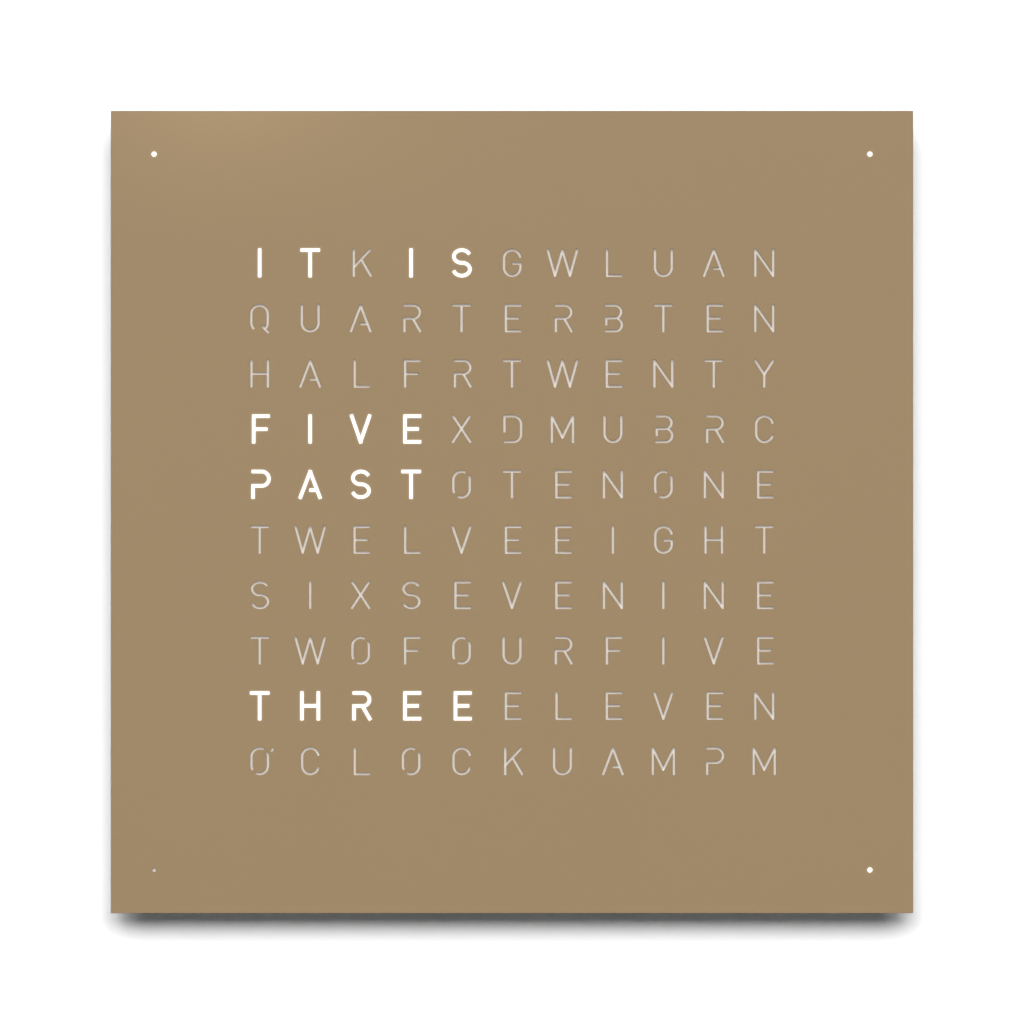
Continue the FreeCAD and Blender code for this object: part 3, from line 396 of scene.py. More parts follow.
@dataclass(frozen=True)
class Moulding(Finish):
    """Moulded plastic or rubber with the fine texture of its tool."""

    name: str
    colour: Colour
    roughness: float
    texture_size: float = 0.6 * MM
    texture_height: float = 0.01 * MM
    share: float = 0.04
    coat: float = 0.0
    cloud_size: float = 18 * MM
    gloss_size: float = 3 * MM
    gloss_reach: float = 0.05

    def dress(self, recipe: Recipe) -> None:
        """Even colour with faint flow clouds, uneven gloss and a tool's texture.

        Args:
            recipe: the material's tree.
        """
        cloud = recipe.noise(self.cloud_size, 3.0)
        recipe.feed(recipe.mottle(cloud, self.colour, self.share), "Base Color")
        gloss = recipe.noise(self.gloss_size, 2.0)
        recipe.feed(recipe.swing(gloss, self.roughness, self.gloss_reach), "Roughness")
        recipe.fix(Coat_Weight=self.coat)
        recipe.relief(recipe.noise(self.texture_size, 2.0), self.texture_height)


@dataclass(frozen=True)
class CircuitBoard(Finish):
    """Solder mask over copper tracks."""

    name: str
    mask: Colour
    track: Colour
    pitch: float = 3.0 * MM
    roughness: float = 0.32
    track_share: float = 0.09
    field_share: float = 4.2
    copper_height: float = 0.03 * MM
    cloud_size: float = 30 * MM
    gloss_size: float = 1.5 * MM
    gloss_reach: float = 0.05

    def dress(self, recipe: Recipe) -> None:
        """Rectangular tracks from a brick pattern laid on the board's own plane.

        A track is `track_share` of the pitch wide, and the fields between tracks are one pitch
        high and `field_share` pitches long.

        Args:
            recipe: the material's tree.
        """
        turn = recipe.add("ShaderNodeMapping")
        turn.inputs["Rotation"].default_value = (math.pi / 2, 0.0, 0.0)
        recipe.join(recipe.place, turn.inputs["Vector"])
        tracks = recipe.add("ShaderNodeTexBrick", offset=0.37, squash=1.6, squash_frequency=3)
        tracks.inputs["Scale"].default_value = 1.0
        tracks.inputs["Mortar Size"].default_value = self.pitch * self.track_share
        tracks.inputs["Brick Width"].default_value = self.pitch * self.field_share
        tracks.inputs["Row Height"].default_value = self.pitch
        recipe.join(turn.outputs["Vector"], tracks.inputs["Vector"])
        drawn = tracks.outputs["Fac"]
        base = recipe.mottle(recipe.noise(self.cloud_size, 2.0), self.mask, 0.06)
        recipe.feed(recipe.blend(drawn, base, self.track), "Base Color")
        recipe.fix(Coat_Weight=0.4, Coat_Roughness=0.12)
        gloss = recipe.noise(self.gloss_size, 2.0)
        recipe.feed(recipe.swing(gloss, self.roughness, self.gloss_reach), "Roughness")
        recipe.relief(drawn, self.copper_height)


@dataclass(frozen=True)
class LampBody(Finish):
    """White lamp with a round yellow window, repeated at an even pitch."""

    name: str
    body: Colour
    window: Colour
    pitch_x: float
    pitch_z: float
    shift_z: float
    window_radius: float = 1.9 * MM
    gloss_size: float = 1 * MM

    def dress(self, recipe: Recipe) -> None:
        """Yellow where x^2 + z^2 from the nearest lamp's middle is under the window's radius^2.

        Args:
            recipe: the material's tree.
        """
        parts = recipe.add("ShaderNodeSeparateXYZ")
        recipe.join(recipe.place, parts.inputs[0])
        raised = recipe.math("ADD", parts.outputs["Z"], self.shift_z)
        across = recipe.math("WRAP", parts.outputs["X"], self.pitch_x / 2, -self.pitch_x / 2)
        up = recipe.math("WRAP", raised, self.pitch_z / 2, -self.pitch_z / 2)
        squares = [recipe.math("POWER", offset, 2.0) for offset in (across, up)]
        square = recipe.math("ADD", *squares)
        inside = recipe.math("LESS_THAN", square, self.window_radius**2)
        recipe.feed(recipe.blend(inside, self.body, self.window), "Base Color")
        recipe.feed(recipe.spread(recipe.noise(self.gloss_size), 0.25, 0.35), "Roughness")


@dataclass(frozen=True)
class Ribbon(Finish):
    """Flat cable sleeve with a ridge over each wire."""

    name: str
    colour: Colour
    wire_pitch: float = 1.2 * MM
    ridge: float = 0.15 * MM
    gloss_size: float = 2 * MM

    def dress(self, recipe: Recipe) -> None:
        """Relief from a sine wave across the wires, and painted shade and light from it: darker in
        each valley, lighter on each ridge.

        Args:
            recipe: the material's tree.
        """
        wave = recipe.add("ShaderNodeTexWave", wave_type="BANDS", bands_direction="X")
        wave.inputs["Scale"].default_value = WAVE_SPAN / self.wire_pitch
        wave.inputs["Distortion"].default_value = 0.0
        recipe.join(recipe.place, wave.inputs["Vector"])
        ridges = wave.outputs["Fac"]
        # painted shade in the valleys and painted light on the ridges
        recipe.feed(recipe.mottle(ridges, self.colour, 0.15), "Base Color")
        recipe.feed(recipe.spread(recipe.noise(self.gloss_size), 0.45, 0.6), "Roughness")
        recipe.relief(ridges, self.ridge)


@dataclass(frozen=True)
class Opal(Finish):
    """Opal plastic that glows where a lamp stands behind it, with a faint painted glow where its
    lamp is off.

    The map `chamber` gives each chamber's place from 0 to 1 both ways, and the attribute `lit`
    is 1 where its lamp is on. Light falls off towards the chamber's walls.
    """

    name: str
    colour: Colour = (0.56, 0.515, 0.47)
    lamp: Colour = (1.0, 0.96, 0.91)
    lit_strength: float = 1.2
    # painted glow of a chamber whose lamp is off, which keeps unlit letters bright in their shaded
    # slots
    painted_idle_glow: float = 0.24
    fall_start: float = 0.36
    wall_share: float = 0.55
    cloud_size: float = 7 * MM
    gloss_size: float = 2 * MM
    texture_size: float = 0.5 * MM
    texture_height: float = 0.004 * MM

    def dress(self, recipe: Recipe) -> None:
        """Glow of (idle + (lit - idle) x lit) x fall, where idle is the painted glow of unlit
        chambers.

        The fall goes smoothly from 1 to `wall_share` as the greater distance from the chamber's
        middle, along x or z, goes from `fall_start` to 0.5.

        Args:
            recipe: the material's tree.
        """
        spot = recipe.add("ShaderNodeUVMap", uv_map="chamber")
        parts = recipe.add("ShaderNodeSeparateXYZ")
        recipe.join(spot.outputs["UV"], parts.inputs[0])
        reach = None
        for axis in ("X", "Y"):
            off = recipe.math("ABSOLUTE", recipe.math("SUBTRACT", parts.outputs[axis], 0.5))
            reach = off if reach is None else recipe.math("MAXIMUM", reach, off)
        fall = recipe.add("ShaderNodeMapRange", interpolation_type="SMOOTHSTEP")
        keys = ("From Min", "From Max", "To Min", "To Max")
        for key, value in zip(keys, (self.fall_start, 0.5, 1.0, self.wall_share)):
            fall.inputs[key].default_value = value
        recipe.join(reach, fall.inputs["Value"])
        lit = recipe.add("ShaderNodeAttribute", attribute_name="lit").outputs["Fac"]
        gain = recipe.math("MULTIPLY", lit, self.lit_strength - self.painted_idle_glow)
        strength = recipe.math("ADD", gain, self.painted_idle_glow)
        recipe.feed(recipe.math("MULTIPLY", strength, fall.outputs["Result"]), "Emission Strength")
        recipe.fix(Emission_Color=self.lamp)
        cloud = recipe.noise(self.cloud_size, 2.0)
        recipe.feed(recipe.mottle(cloud, self.colour, 0.02), "Base Color")
        recipe.feed(recipe.spread(recipe.noise(self.gloss_size), 0.38, 0.48), "Roughness")
        recipe.relief(recipe.noise(self.texture_size), self.texture_height)


@dataclass(frozen=True)
class PaintedGlowEdge(Finish):
    """The bevel and wall of a slot by a lit chamber, with a painted glow that stands in for the
    chamber's light.
    """

    name: str
    colour: Colour = (0.42, 0.36, 0.28)
    lamp: Colour = (1.0, 0.99, 0.965)
    strength: float = 0.8
    grain_size: float = 0.5 * MM

    def dress(self, recipe: Recipe) -> None:
        """Bright painted glow, an emission that wanders a little with the powder's grain.

        Args:
            recipe: the material's tree.
        """
        grain = recipe.noise(self.grain_size, 1.0)
        recipe.feed(recipe.mottle(grain, self.colour, 0.04), "Base Color")
        recipe.fix(Emission_Color=self.lamp, Roughness=0.5)
        recipe.feed(recipe.swing(grain, self.strength, self.strength * 0.03), "Emission Strength")


def make_piece(
    name: str,
    points: np.ndarray,
    faces: Sequence[Sequence[int]],
    finishes: Sequence[Finish],
    choice: np.ndarray | None = None,
) -> bpy.types.Object:
    """Turn arrays into an object at the origin.

    Args:
        name: the piece's name.
        points: corners, one row each.
        faces: corner numbers of each face.
        finishes: finishes of the material slots.
        choice: slot number of each face, or none where all take the first.

    Returns:
        The new object.
    """
    mesh = bpy.data.meshes.new(name)
    mesh.from_pydata(points.tolist(), [], faces)
    for finish in finishes:
        mesh.materials.append(finish.material())
    if choice is not None:
        mesh.polygons.foreach_set("material_index", choice.astype(np.int32))
    mesh.update()
    piece = bpy.data.objects.new(name, mesh)
    bpy.context.scene.collection.objects.link(piece)
    return piece


def snapped(lengths: np.ndarray | float) -> np.ndarray | float:
    """Lengths moved to the nearest step of a lattice that single precision holds exactly."""
    return np.round(lengths / LATTICE) * LATTICE


def inside(points: np.ndarray, loops: Iterable[np.ndarray]) -> np.ndarray:
    """Which points lie in at least one closed outline, by the even-odd rule.

    An edge from (x1, z1) to (x2, z2) counts for a point (x, z) where one of its ends is above z
    and the other isn't, and where x is less than x1 + (z - z1) (x2 - x1) / (z2 - z1).

    Args:
        points: places, one row each.
        loops: closed outlines.

    Returns:
        True or false for each point.
    """
    found = np.zeros(len(points), bool)
    x, z = points[:, None, 0], points[:, None, 1]
    for loop in loops:
        (x1, z1), (x2, z2) = loop.T, np.roll(loop, -1, axis=0).T
        spans = (z1 > z) != (z2 > z)
        crossing = x1 + (z - z1) * (x2 - x1) / np.where(z2 == z1, 1.0, z2 - z1)
        found |= np.sum(spans & (x < crossing), axis=1) % 2 == 1
    return found


def welded(points: np.ndarray, *faces: np.ndarray) -> tuple[np.ndarray, ...]:
    """Give corners on the same lattice place one number.

    Args:
        points: corners, one row each.
        faces: arrays of corner numbers.

    Returns:
        The corners that are left, where each of them was, and the renumbered faces.
    """
    rounded = np.round(points / LATTICE).astype(np.int64)
    _, first, place = np.unique(rounded, axis=0, return_index=True, return_inverse=True)
    place = place.reshape(-1)
    return (points[first], first, *(place[numbers] for numbers in faces))


def report(piece: bpy.types.Object, words: str) -> None:
    """Log a piece with its number of faces."""
    log.info("%s: %s, %d faces", piece.name, words, len(piece.data.polygons))


@dataclass(frozen=True)
class Alphabet:
    """Stencil capitals drawn as middle lines of even strokes.

    All numbers are millimetres from the middle of a letter's chamber. A stroke that runs into
    another one ends `tuck` short of the other's middle line, so that their outlines cross.
    """

    rise: float = 7.2
    tuck: float = 0.55
    round_x: float = 4.6
    round_z: float = 4.6
    step: float = 11.0

    def line(self, *points: tuple[float, float]) -> Path:
        """Straight stroke through points."""
        return np.array(points, dtype=float)

    def bow(
        self, x: float, z: float, radius_x: float, radius_z: float, start: float, stop: float
    ) -> Path:
        """Part of an ellipse: (x + rx cos a, z + rz sin a) for a from start to stop.

        Args:
            x: the middle's place to the right.
            z: the middle's place upwards.
            radius_x: half the ellipse's width, rx.
            radius_z: half the ellipse's height, rz.
            start: first angle, in degrees.
            stop: last angle, in degrees.

        Returns:
            The part's points.
        """
        count = max(3, int(abs(stop - start) / self.step) + 1)
        angle = np.radians(np.linspace(start, stop, count))
        return np.column_stack([x + radius_x * np.cos(angle), z + radius_z * np.sin(angle)])

    def chain(self, *parts: Path) -> Path:
        """One smooth stroke made of parts laid end to end.

        Args:
            parts: lines and bows, each starting where the last one ends.

        Returns:
            The stroke, without doubled points.
        """
        joined = np.vstack(parts)
        gaps = np.linalg.norm(np.diff(joined, axis=0), axis=1)
        return joined[np.concatenate([[True], gaps > 1e-6])]

    def stem(self, x: float) -> Path:
        """Upright stroke of full height."""
        return self.line((x, self.rise), (x, -self.rise))

    def hook(self, left: float, right: float, top: float, low: float) -> Path:
        """Bar, half-round bowl to the right and bar back to the left.

        Args:
            left: where the bars begin.
            right: the bowl's outermost place.
            top: height of the upper bar.
            low: height of the lower bar.

        Returns:
            The stroke.
        """
        radius = (top - low) / 2
        middle = right - radius
        return self.chain(
            self.line((left, top), (middle, top)),
            self.bow(middle, (top + low) / 2, radius, radius, 90, -90),
            self.line((middle, low), (left + self.tuck, low)),
        )

    def opening(self) -> list[Path]:
        """The round letter: a stroke from the upper right to the lower left, and its half turn.

        Returns:
            The two strokes.
        """
        centre = self.rise - self.round_z
        wide, high = self.round_x, self.round_z
        upper = self.chain(
            self.bow(0, centre, wide, high, 68, 180), self.bow(0, -centre, wide, high, 180, 202)
        )
        return [upper, -upper]

    def letters(self) -> dict[str, list[Path]]:
        """Every letter's strokes, by letter.

        Returns:
            A list of middle lines for each letter.
        """
        line = self.line
        bow = self.bow
        chain = self.chain
        stem = self.stem
        top = self.rise
        low = -self.rise
        tuck = self.tuck
        wide = self.round_x
        high = self.round_z
        centre = top - high
        foot = 5.45
        bar_end = 4.75
        dome = bow(0.1, centre, wide, high, 12, 180)
        cup = chain(dome, bow(0.1, -centre, wide, high, 180, 345))
        basin = chain(dome, bow(0.1, -centre, wide, high, 180, 360))
        return {
            "A": [
                line((0, top - 0.1), (-foot, low)),
                line((0.2, top - tuck), (foot, low)),
                line((0.4, -3.25), (4.05 - tuck, -3.25)),
            ],
            "B": [
                self.hook(-3.7, 4.6, top, 0.1),
                chain(
                    bow(1.35, (0.1 + low) / 2, 3.65, (0.1 - low) / 2, 60, -90),
                    line((1.35, low), (-3.9, low)),
                ),
                line((-3.7, 0.1), (-3.7, -3.4)),
            ],
            "C": [cup],
            "D": [
                line((-4.2, top), (-4.2, -1.3)),
                chain(
                    line((-4.2 + tuck, top), (0.7, top)),
                    bow(0.7, top - 4.4, 4.4, 4.4, 90, 0),
                    bow(0.7, low + 4.4, 4.4, 4.4, 0, -90),
                    line((0.7, low), (-4.0, low)),
                ),
            ],
            "E": [
                stem(-3.4),
                line((-3.4 + tuck, top), (bar_end, top)),
                line((-3.4 + tuck, 0), (3.4, 0)),
                line((-3.4 + tuck, low), (bar_end, low)),
            ],
            "F": [
                stem(-3.35),
                line((-3.35 + tuck, top), (bar_end, top)),
                line((-3.35 + tuck, -0.1), (3.5, -0.1)),
            ],
            "G": [
                chain(basin, line((0.1 + wide, -0.9))),
                line((0.7, -0.35), (0.1 + wide, -0.35)),
            ],
            "H": [
                stem(-4.6),
                stem(4.6),
                line((-4.6 + tuck, 0), (4.6 - tuck, 0)),
            ],
            "I": [stem(0)],
            "K": [
                stem(-3.8),
                line((-3.8 + tuck, -1.75), (5.1, top)),
                line((0.6, 1.6), (5.7, low)),
            ],
            "L": [stem(-3.3), line((-3.3 + tuck, low), (bar_end, low))],
            "M": [
                stem(-5.9),
                stem(5.9),
                line((-5.9 + 0.3, top - tuck), (0, -4.8)),
                line((5.9 - 0.3, top - tuck), (0.2, -4.4)),
            ],
            "N": [
                stem(-5.0),
                stem(5.0),
                line((-5.0 + 0.3, top - tuck), (5.0 - 0.3, low + tuck)),
            ],
            "O": self.opening(),
            "'": self.opening() + [line((7.4, 7.0), (6.8, 5.85))],
            "P": [self.hook(-3.6, 5.2, top, -0.85), line((-3.7, -0.85), (-3.7, low))],
            "Q": [
                chain(
                    bow(-0.1, -centre, wide, high, 221, 180),
                    bow(-0.1, centre, wide, high, 180, 0),
                    bow(-0.1, -centre, wide, high, 0, -32),
                ),
                line((1.7, -4.7), (4.8, -7.8)),
            ],
            "R": [
                self.hook(-3.6, 4.95, top, -0.1),
                line((-3.7, -0.1), (-3.7, low)),
                line((1.3, -0.55), (5.1, low)),
            ],
            "S": [
                chain(
                    bow(0.15, top - 3.6, 4.45, 3.6, 33, 258),
                    bow(0.15, low + 3.65, 4.55, 3.65, 78, -154),
                )
            ],
            "T": [line((-4.5, top), (4.6, top)), line((0, top - tuck), (0, low))],
            "U": [
                chain(
                    line((-4.7, top), (-4.7, -centre)),
                    bow(0, -centre, 4.7, high, 180, 360),
                    line((4.7, -centre), (4.7, top)),
                )
            ],
            "V": [line((-4.95, top), (0, low)), line((4.95, top), (0.15, low + tuck))],
            "W": [
                line((-8.2, top), (-4.2, low)),
                line((-4.05, low + tuck), (0, top - 0.1)),
                line((0.15, top - tuck), (4.2, low)),
                line((8.2, top), (4.35, low + tuck)),
            ],
            "X": [line((-4.6, top), (4.9, low)), line((4.6, top), (-4.9, low))],
            "Y": [
                line((-4.9, top), (0, -0.5)),
                line((4.9, top), (0.2, -0.1)),
                line((0, -0.4), (0, low)),
            ],
        }


@dataclass(frozen=True)
class Slot:
    """Section of a cut through the cover, and the distance field of its strokes.

    A stroke's outline lies at a distance of half the slot's width from its middle line. Beyond a
    free end the distance is the fourth-power mean (a^4 + b^4)^(1/4) of the two offsets, which
    gives a square end with rounded corners. A bevel joins the slot to the cover's face.
    """

    half_width: float = 0.65 * MM
    bevel_width: float = 0.22 * MM
    bevel_depth: float = 0.12 * MM
    # width of the painted glow round a lit slot
    halo_width: float = 1.3 * MM
    end_power: float = 4.0
    end_points: int = 9

    @property
    def bevel_reach(self) -> float:
        """Distance of the bevel's outer edge from the stroke's middle line."""
        return self.half_width + self.bevel_width

    @property
    def halo_reach(self) -> float:
        """Distance at which the painted glow round a lit slot ends."""
        return self.bevel_reach + self.halo_width

    def ring(self, path: Path, reach: float) -> np.ndarray:
        """Closed outline at an even distance round a stroke.

        The sides are the path moved along its mitred normals. Each end is the superellipse
        (cos^(1/2), sin^(1/2)) of half a turn.

        Args:
            path: the stroke's middle line.
            reach: the outline's distance.

        Returns:
            The outline's corners.
        """
        steps = np.diff(path, axis=0)
        along = steps / np.linalg.norm(steps, axis=1, keepdims=True)
        normal = np.column_stack([-along[:, 1], along[:, 0]])
        joint = np.vstack([normal[:1], normal[:-1] + normal[1:], normal[-1:]])
        joint /= np.linalg.norm(joint, axis=1, keepdims=True)
        nearest = np.vstack([normal, normal[-1:]])
        joint /= np.sum(joint * nearest, axis=1, keepdims=True)
        turn = np.linspace(0, np.pi, self.end_points)
        power = 2.0 / self.end_power
        across = np.sign(np.cos(turn)) * np.abs(np.cos(turn)) ** power
        beyond = np.sin(turn).clip(0) ** power
        finish = path[-1] + reach * (across[:, None] * normal[-1] + beyond[:, None] * along[-1])
        start = path[0] - reach * (across[:, None] * normal[0] + beyond[:, None] * along[0])
        left = (path + reach * joint)[1:-1]
        right = (path - reach * joint)[1:-1][::-1]
        return snapped(np.vstack([left, finish, right, start]))

    def distance(self, points: np.ndarray, paths: Iterable[Path]) -> np.ndarray:
        """Least distance of each point from a letter's strokes.

        Args:
            points: places on the cover's face.
            paths: the strokes' middle lines.

        Returns:
            One distance per point.
        """
        best = np.full(len(points), np.inf)
        for path in paths:
            start = path[:-1]
            steps = np.diff(path, axis=0)
            length = np.linalg.norm(steps, axis=1)
            along = steps / length[:, None]
            offset = points[:, None, :] - start[None]
            run = np.sum(offset * along[None], axis=2)
            side = np.abs(offset[..., 0] * along[:, 1] - offset[..., 1] * along[:, 0])
            before = np.maximum(-run, 0)
            after = np.maximum(run - length, 0)
            power = np.full(run.shape, 2.0)
            power[:, 0][before[:, 0] > 0] = self.end_power
            power[:, -1][after[:, -1] > 0] = self.end_power
            reach = ((before + after) ** power + side**power) ** (1 / power)
            best = np.minimum(best, reach.min(axis=1))
        return best

    def sink(self, distance: np.ndarray) -> np.ndarray:
        """Depth of the bevel below the cover's face at each distance."""
        share = (self.bevel_reach - distance) / self.bevel_width
        return self.bevel_depth * share.clip(0, 1)

    def halo(self, distance: np.ndarray) -> np.ndarray:
        """Painted glow at each distance, from 1 at the bevel to 0 at the halo's end."""
        return (1 - (distance - self.bevel_reach) / self.halo_width).clip(0, 1)


@dataclass
class Patch:
    """A flat triangulated piece of the cover's face."""

    points: np.ndarray
    sink: np.ndarray
    # painted glow at each corner, from 0 to 1
    glow: np.ndarray
    triangles: np.ndarray
    # faces with the painted glow: bevels of lit slots
    painted_glow_edge: np.ndarray

    def moved(self, x: float, z: float) -> "Patch":
        """The same patch at another place."""
        points = self.points + np.array([x, z])
        return Patch(points, self.sink, self.glow, self.triangles, self.painted_glow_edge)


def triangulate(loops: Sequence[np.ndarray]) -> tuple[np.ndarray, np.ndarray]:
    """Triangles that fill the first loop and keep every loop's edges.

    Args:
        loops: closed outlines, the outer one first.

    Returns:
        The corners, and the triangles as rows of three corner numbers, anticlockwise.
    """
    corners = np.round(np.vstack(loops) / LATTICE)
    edges = []
    start = 0
    for loop in loops:
        count = len(loop)
        ring = np.arange(start, start + count)
        edges += np.column_stack([ring, np.roll(ring, -1)]).tolist()
        start += count
    made = delaunay_2d_cdt(corners.tolist(), edges, [], 0, 0.01)
    return np.array(made[0]) * LATTICE, np.array(made[2], dtype=np.int64)


@dataclass
class LetteredCover:
    """Sheet steel cover with words cut through it and a dot near each corner."""

    coat: Finish
    # finish with the painted glow on the bevels and walls of lit slots
    edge: Finish
    alphabet: Alphabet = field(default_factory=Alphabet)
    idle_slot: Slot = field(default_factory=Slot)
    lit_slot: Slot = field(default_factory=lambda: Slot(bevel_width=0.38 * MM))
    margin_x: float = 69.35 * MM
    margin_z: float = 69.75 * MM
    dot_inset: float = 24.3 * MM
    dot_radius: float = 1.1 * MM
    dot_sides: int = 40
    rim_round: float = 0.3 * MM
    rim_steps: int = 5

    def __post_init__(self) -> None:
        """Take the sheet's size and the letters' pitch from the CAD cover."""
        low, high = node_place("front_cover")
        self.half = high[0]
        self.front = low[1]
        self.back = high[1]
        self.inner = snapped(self.half - self.rim_round)
        self.pitch_x = 2 * snapped((self.half - self.margin_x) / len(WORD_ROWS[0]))
        self.pitch_z = 2 * snapped((self.half - self.margin_z) / len(WORD_ROWS))

    def cell(self, column: int, row: int) -> tuple[float, float]:
        """Middle of a chamber.

        Args:
            column: its column, from 0 at the left.
            row: its row, from 0 at the top.

        Returns:
            The middle as (x, z).
        """
        x = (column - (len(WORD_ROWS[0]) - 1) / 2) * self.pitch_x
        z = ((len(WORD_ROWS) - 1) / 2 - row) * self.pitch_z
        return x, z

    def letter_patch(self, strokes: Sequence[Path], lit: bool) -> Patch:
        """One chamber's rectangle of the cover with a letter cut through it.

        Args:
            strokes: the letter's middle lines in millimetres.
            lit: whether the chamber's lamp is on.

        Returns:
            The patch, about the chamber's middle.
        """
        x = self.pitch_x / 2
        z = self.pitch_z / 2
        border = np.array([(-x, -z), (x, -z), (x, z), (-x, z)])
        paths = [stroke * MM for stroke in strokes]
        slot = self.lit_slot if lit else self.idle_slot
        reaches = [slot.half_width, slot.bevel_reach]
        if lit:
            reaches.append(slot.halo_reach)
        rings = [slot.ring(path, reach) for path in paths for reach in reaches]
        points, triangles = triangulate([border, *rings])
        middle = points[triangles].mean(axis=1)
        kept = ~inside(middle, rings[:: len(reaches)])
        distance = slot.distance(points, paths)
        # painted glow on the sheet round a lit slot
        glow = slot.halo(distance) if lit else np.zeros(len(points))
        # bevels of the lit slot, which take the painted glow
        painted_glow_edge = inside(middle, rings[1 :: len(reaches)]) & lit
        return Patch(points, slot.sink(distance), glow, triangles[kept], painted_glow_edge[kept])

    def letter_patches(self) -> list[Patch]:
        """Every chamber's patch, where equal letters share one triangulation.

        Returns:
            The patches in reading order.
        """
        letters = self.alphabet.letters()
        known: dict[tuple[str, bool], Patch] = {}
        patches = []
        for row, word in enumerate(WORD_ROWS):
            for column, letter in enumerate(word):
                lit = column in LIT_CELLS.get(row, ())
                key = (letter, lit)
                if key not in known:
                    known[key] = self.letter_patch(letters[letter], lit)
                patches.append(known[key].moved(*self.cell(column, row)))
        return patches

    def frame_patch(self) -> Patch:
        """The plain sheet round the letters, with a bevelled hole for each minute dot.

        A dot is a slot round a point: its outlines are circles at the slot's distances, moved
        outwards so that the hole has the dot's radius.

        Returns:
            The patch.
        """
        square = self.inner * np.array([(-1, -1), (1, -1), (1, 1), (-1, 1)], dtype=float)
        across = len(WORD_ROWS[0])
        down = len(WORD_ROWS)
        columns = np.arange(-across, across + 1, 2) * self.pitch_x / 2
        rows = np.arange(-down, down + 1, 2) * self.pitch_z / 2
        sides = [
            np.column_stack([columns[:-1], np.full(len(columns) - 1, rows[0])]),
            np.column_stack([np.full(len(rows) - 1, columns[-1]), rows[:-1]]),
            np.column_stack([columns[:0:-1], np.full(len(columns) - 1, rows[-1])]),
            np.column_stack([np.full(len(rows) - 1, columns[0]), rows[:0:-1]]),
        ]
        window = np.vstack(sides)
        spot = self.half - self.dot_inset
        angle = np.linspace(0, 2 * np.pi, self.dot_sides, endpoint=False)
        circle = np.column_stack([np.cos(angle), np.sin(angle)])
        centres = spot * np.array(CORNERS, dtype=float)
        lit = np.array([corner not in UNLIT_CORNERS for corner in CORNERS])
        slots = [self.lit_slot if on else self.idle_slot for on in lit]
        shift = self.dot_radius - self.lit_slot.half_width
        rings = [
            snapped(centre + (shift + reach) * circle)
            for centre, slot in zip(centres, slots)
            for reach in (slot.half_width, slot.bevel_reach, slot.halo_reach)
        ]
        points, triangles = triangulate([square, window, *rings])
        middle = points[triangles].mean(axis=1)
        kept = ~inside(middle, [window, *rings[::3]])
        off = np.linalg.norm(points[:, None] - centres[None], axis=2)
        distance = off.min(axis=1) - shift
        near_lit = lit[off.argmin(axis=1)]
        sink = np.where(near_lit, self.lit_slot.sink(distance), self.idle_slot.sink(distance))
        # painted glow on the sheet round the lit minute dots
        glow = self.lit_slot.halo(distance) * near_lit
        # bevels of the lit dots, which take the painted glow
        painted_glow_edge = inside(middle, [ring for ring, on in zip(rings[1::3], lit) if on])
        return Patch(points, sink, glow, triangles[kept], painted_glow_edge[kept])

    def build(self) -> bpy.types.Object:
        """Join the patches, copy them to the sheet's back and close every edge.

        A face corner (x, z) lies at y = front + sink, and its copy at y = back. Each edge that
        only one triangle has is a slot's edge, and gets a wall between face and back.

        Returns:
            The cover.
        """
        patches = [*self.letter_patches(), self.frame_patch()]
        starts = np.cumsum([0] + [len(patch.points) for patch in patches])
        triangles = np.vstack([patch.triangles + at for patch, at in zip(patches, starts)])
        flat, first, triangles = welded(np.vstack([patch.points for patch in patches]), triangles)
        sink = np.concatenate([patch.sink for patch in patches])[first]
        glow = np.concatenate([patch.glow for patch in patches])[first]
        painted_glow_edge = np.concatenate([patch.painted_glow_edge for patch in patches])
        whole = np.all(triangles != np.roll(triangles, 1, axis=1), axis=1)
        triangles = triangles[whole]
        painted_glow_edge = painted_glow_edge[whole]
        count = len(flat)
        face = np.column_stack([flat[:, 0], self.front + sink, flat[:, 1]])
        rear = np.column_stack([flat[:, 0], np.full(count, self.back), flat[:, 1]])
        edges, owner = self.open_edges(flat, triangles)
        start, stop = edges.T
        walls = np.column_stack([stop, start, start + count, stop + count])
        rim_points, rim = self.rim(2 * count)
        points, kept, triangles, back, walls, rim = welded(
            np.vstack([face, rear, rim_points]), triangles, triangles[:, ::-1] + count, walls, rim
        )
        faces = [*triangles.tolist(), *back.tolist(), *walls.tolist(), *rim.tolist()]
        dark_back = np.zeros(len(back), bool)
        dark_rim = np.zeros(len(rim), bool)
        # faces with the painted glow (bevels of lit slots and their walls) take the second finish
        choice = np.concatenate([painted_glow_edge, dark_back, painted_glow_edge[owner], dark_rim])
        piece = make_piece("lettered_cover", points, faces, [self.coat, self.edge], choice)
        # painted glow of each corner, kept as the attribute that the coat turns into emission
        light = np.concatenate([glow, np.zeros(count + len(rim_points))])[kept]
        layer = piece.data.attributes.new("glow", "FLOAT", "POINT")
        layer.data.foreach_set("value", light.astype(np.float32))
        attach(piece, "cover")
        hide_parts("front_cover")
        report(piece, "cover with its words")
        return piece

    def open_edges(
        self, flat: np.ndarray, triangles: np.ndarray
    ) -> tuple[np.ndarray, np.ndarray]:
        """Edges inside the sheet that only one triangle has.

        Args:
            flat: corners of the face as (x, z).
            triangles: rows of three corner numbers.

        Returns:
            The edges as rows of two corner numbers, and the triangle of each.
        """
        edges = np.vstack([triangles[:, [0, 1]], triangles[:, [1, 2]], triangles[:, [2, 0]]])
        owner = np.tile(np.arange(len(triangles)), 3)
        count = len(flat)
        key = edges[:, 0] * count + edges[:, 1]
        opposite = edges[:, 1] * count + edges[:, 0]
        within = np.abs(flat[edges].mean(axis=1)).max(axis=1) < self.inner - LATTICE / 2
        single = ~np.isin(key, opposite) & within
        return edges[single], owner[single]

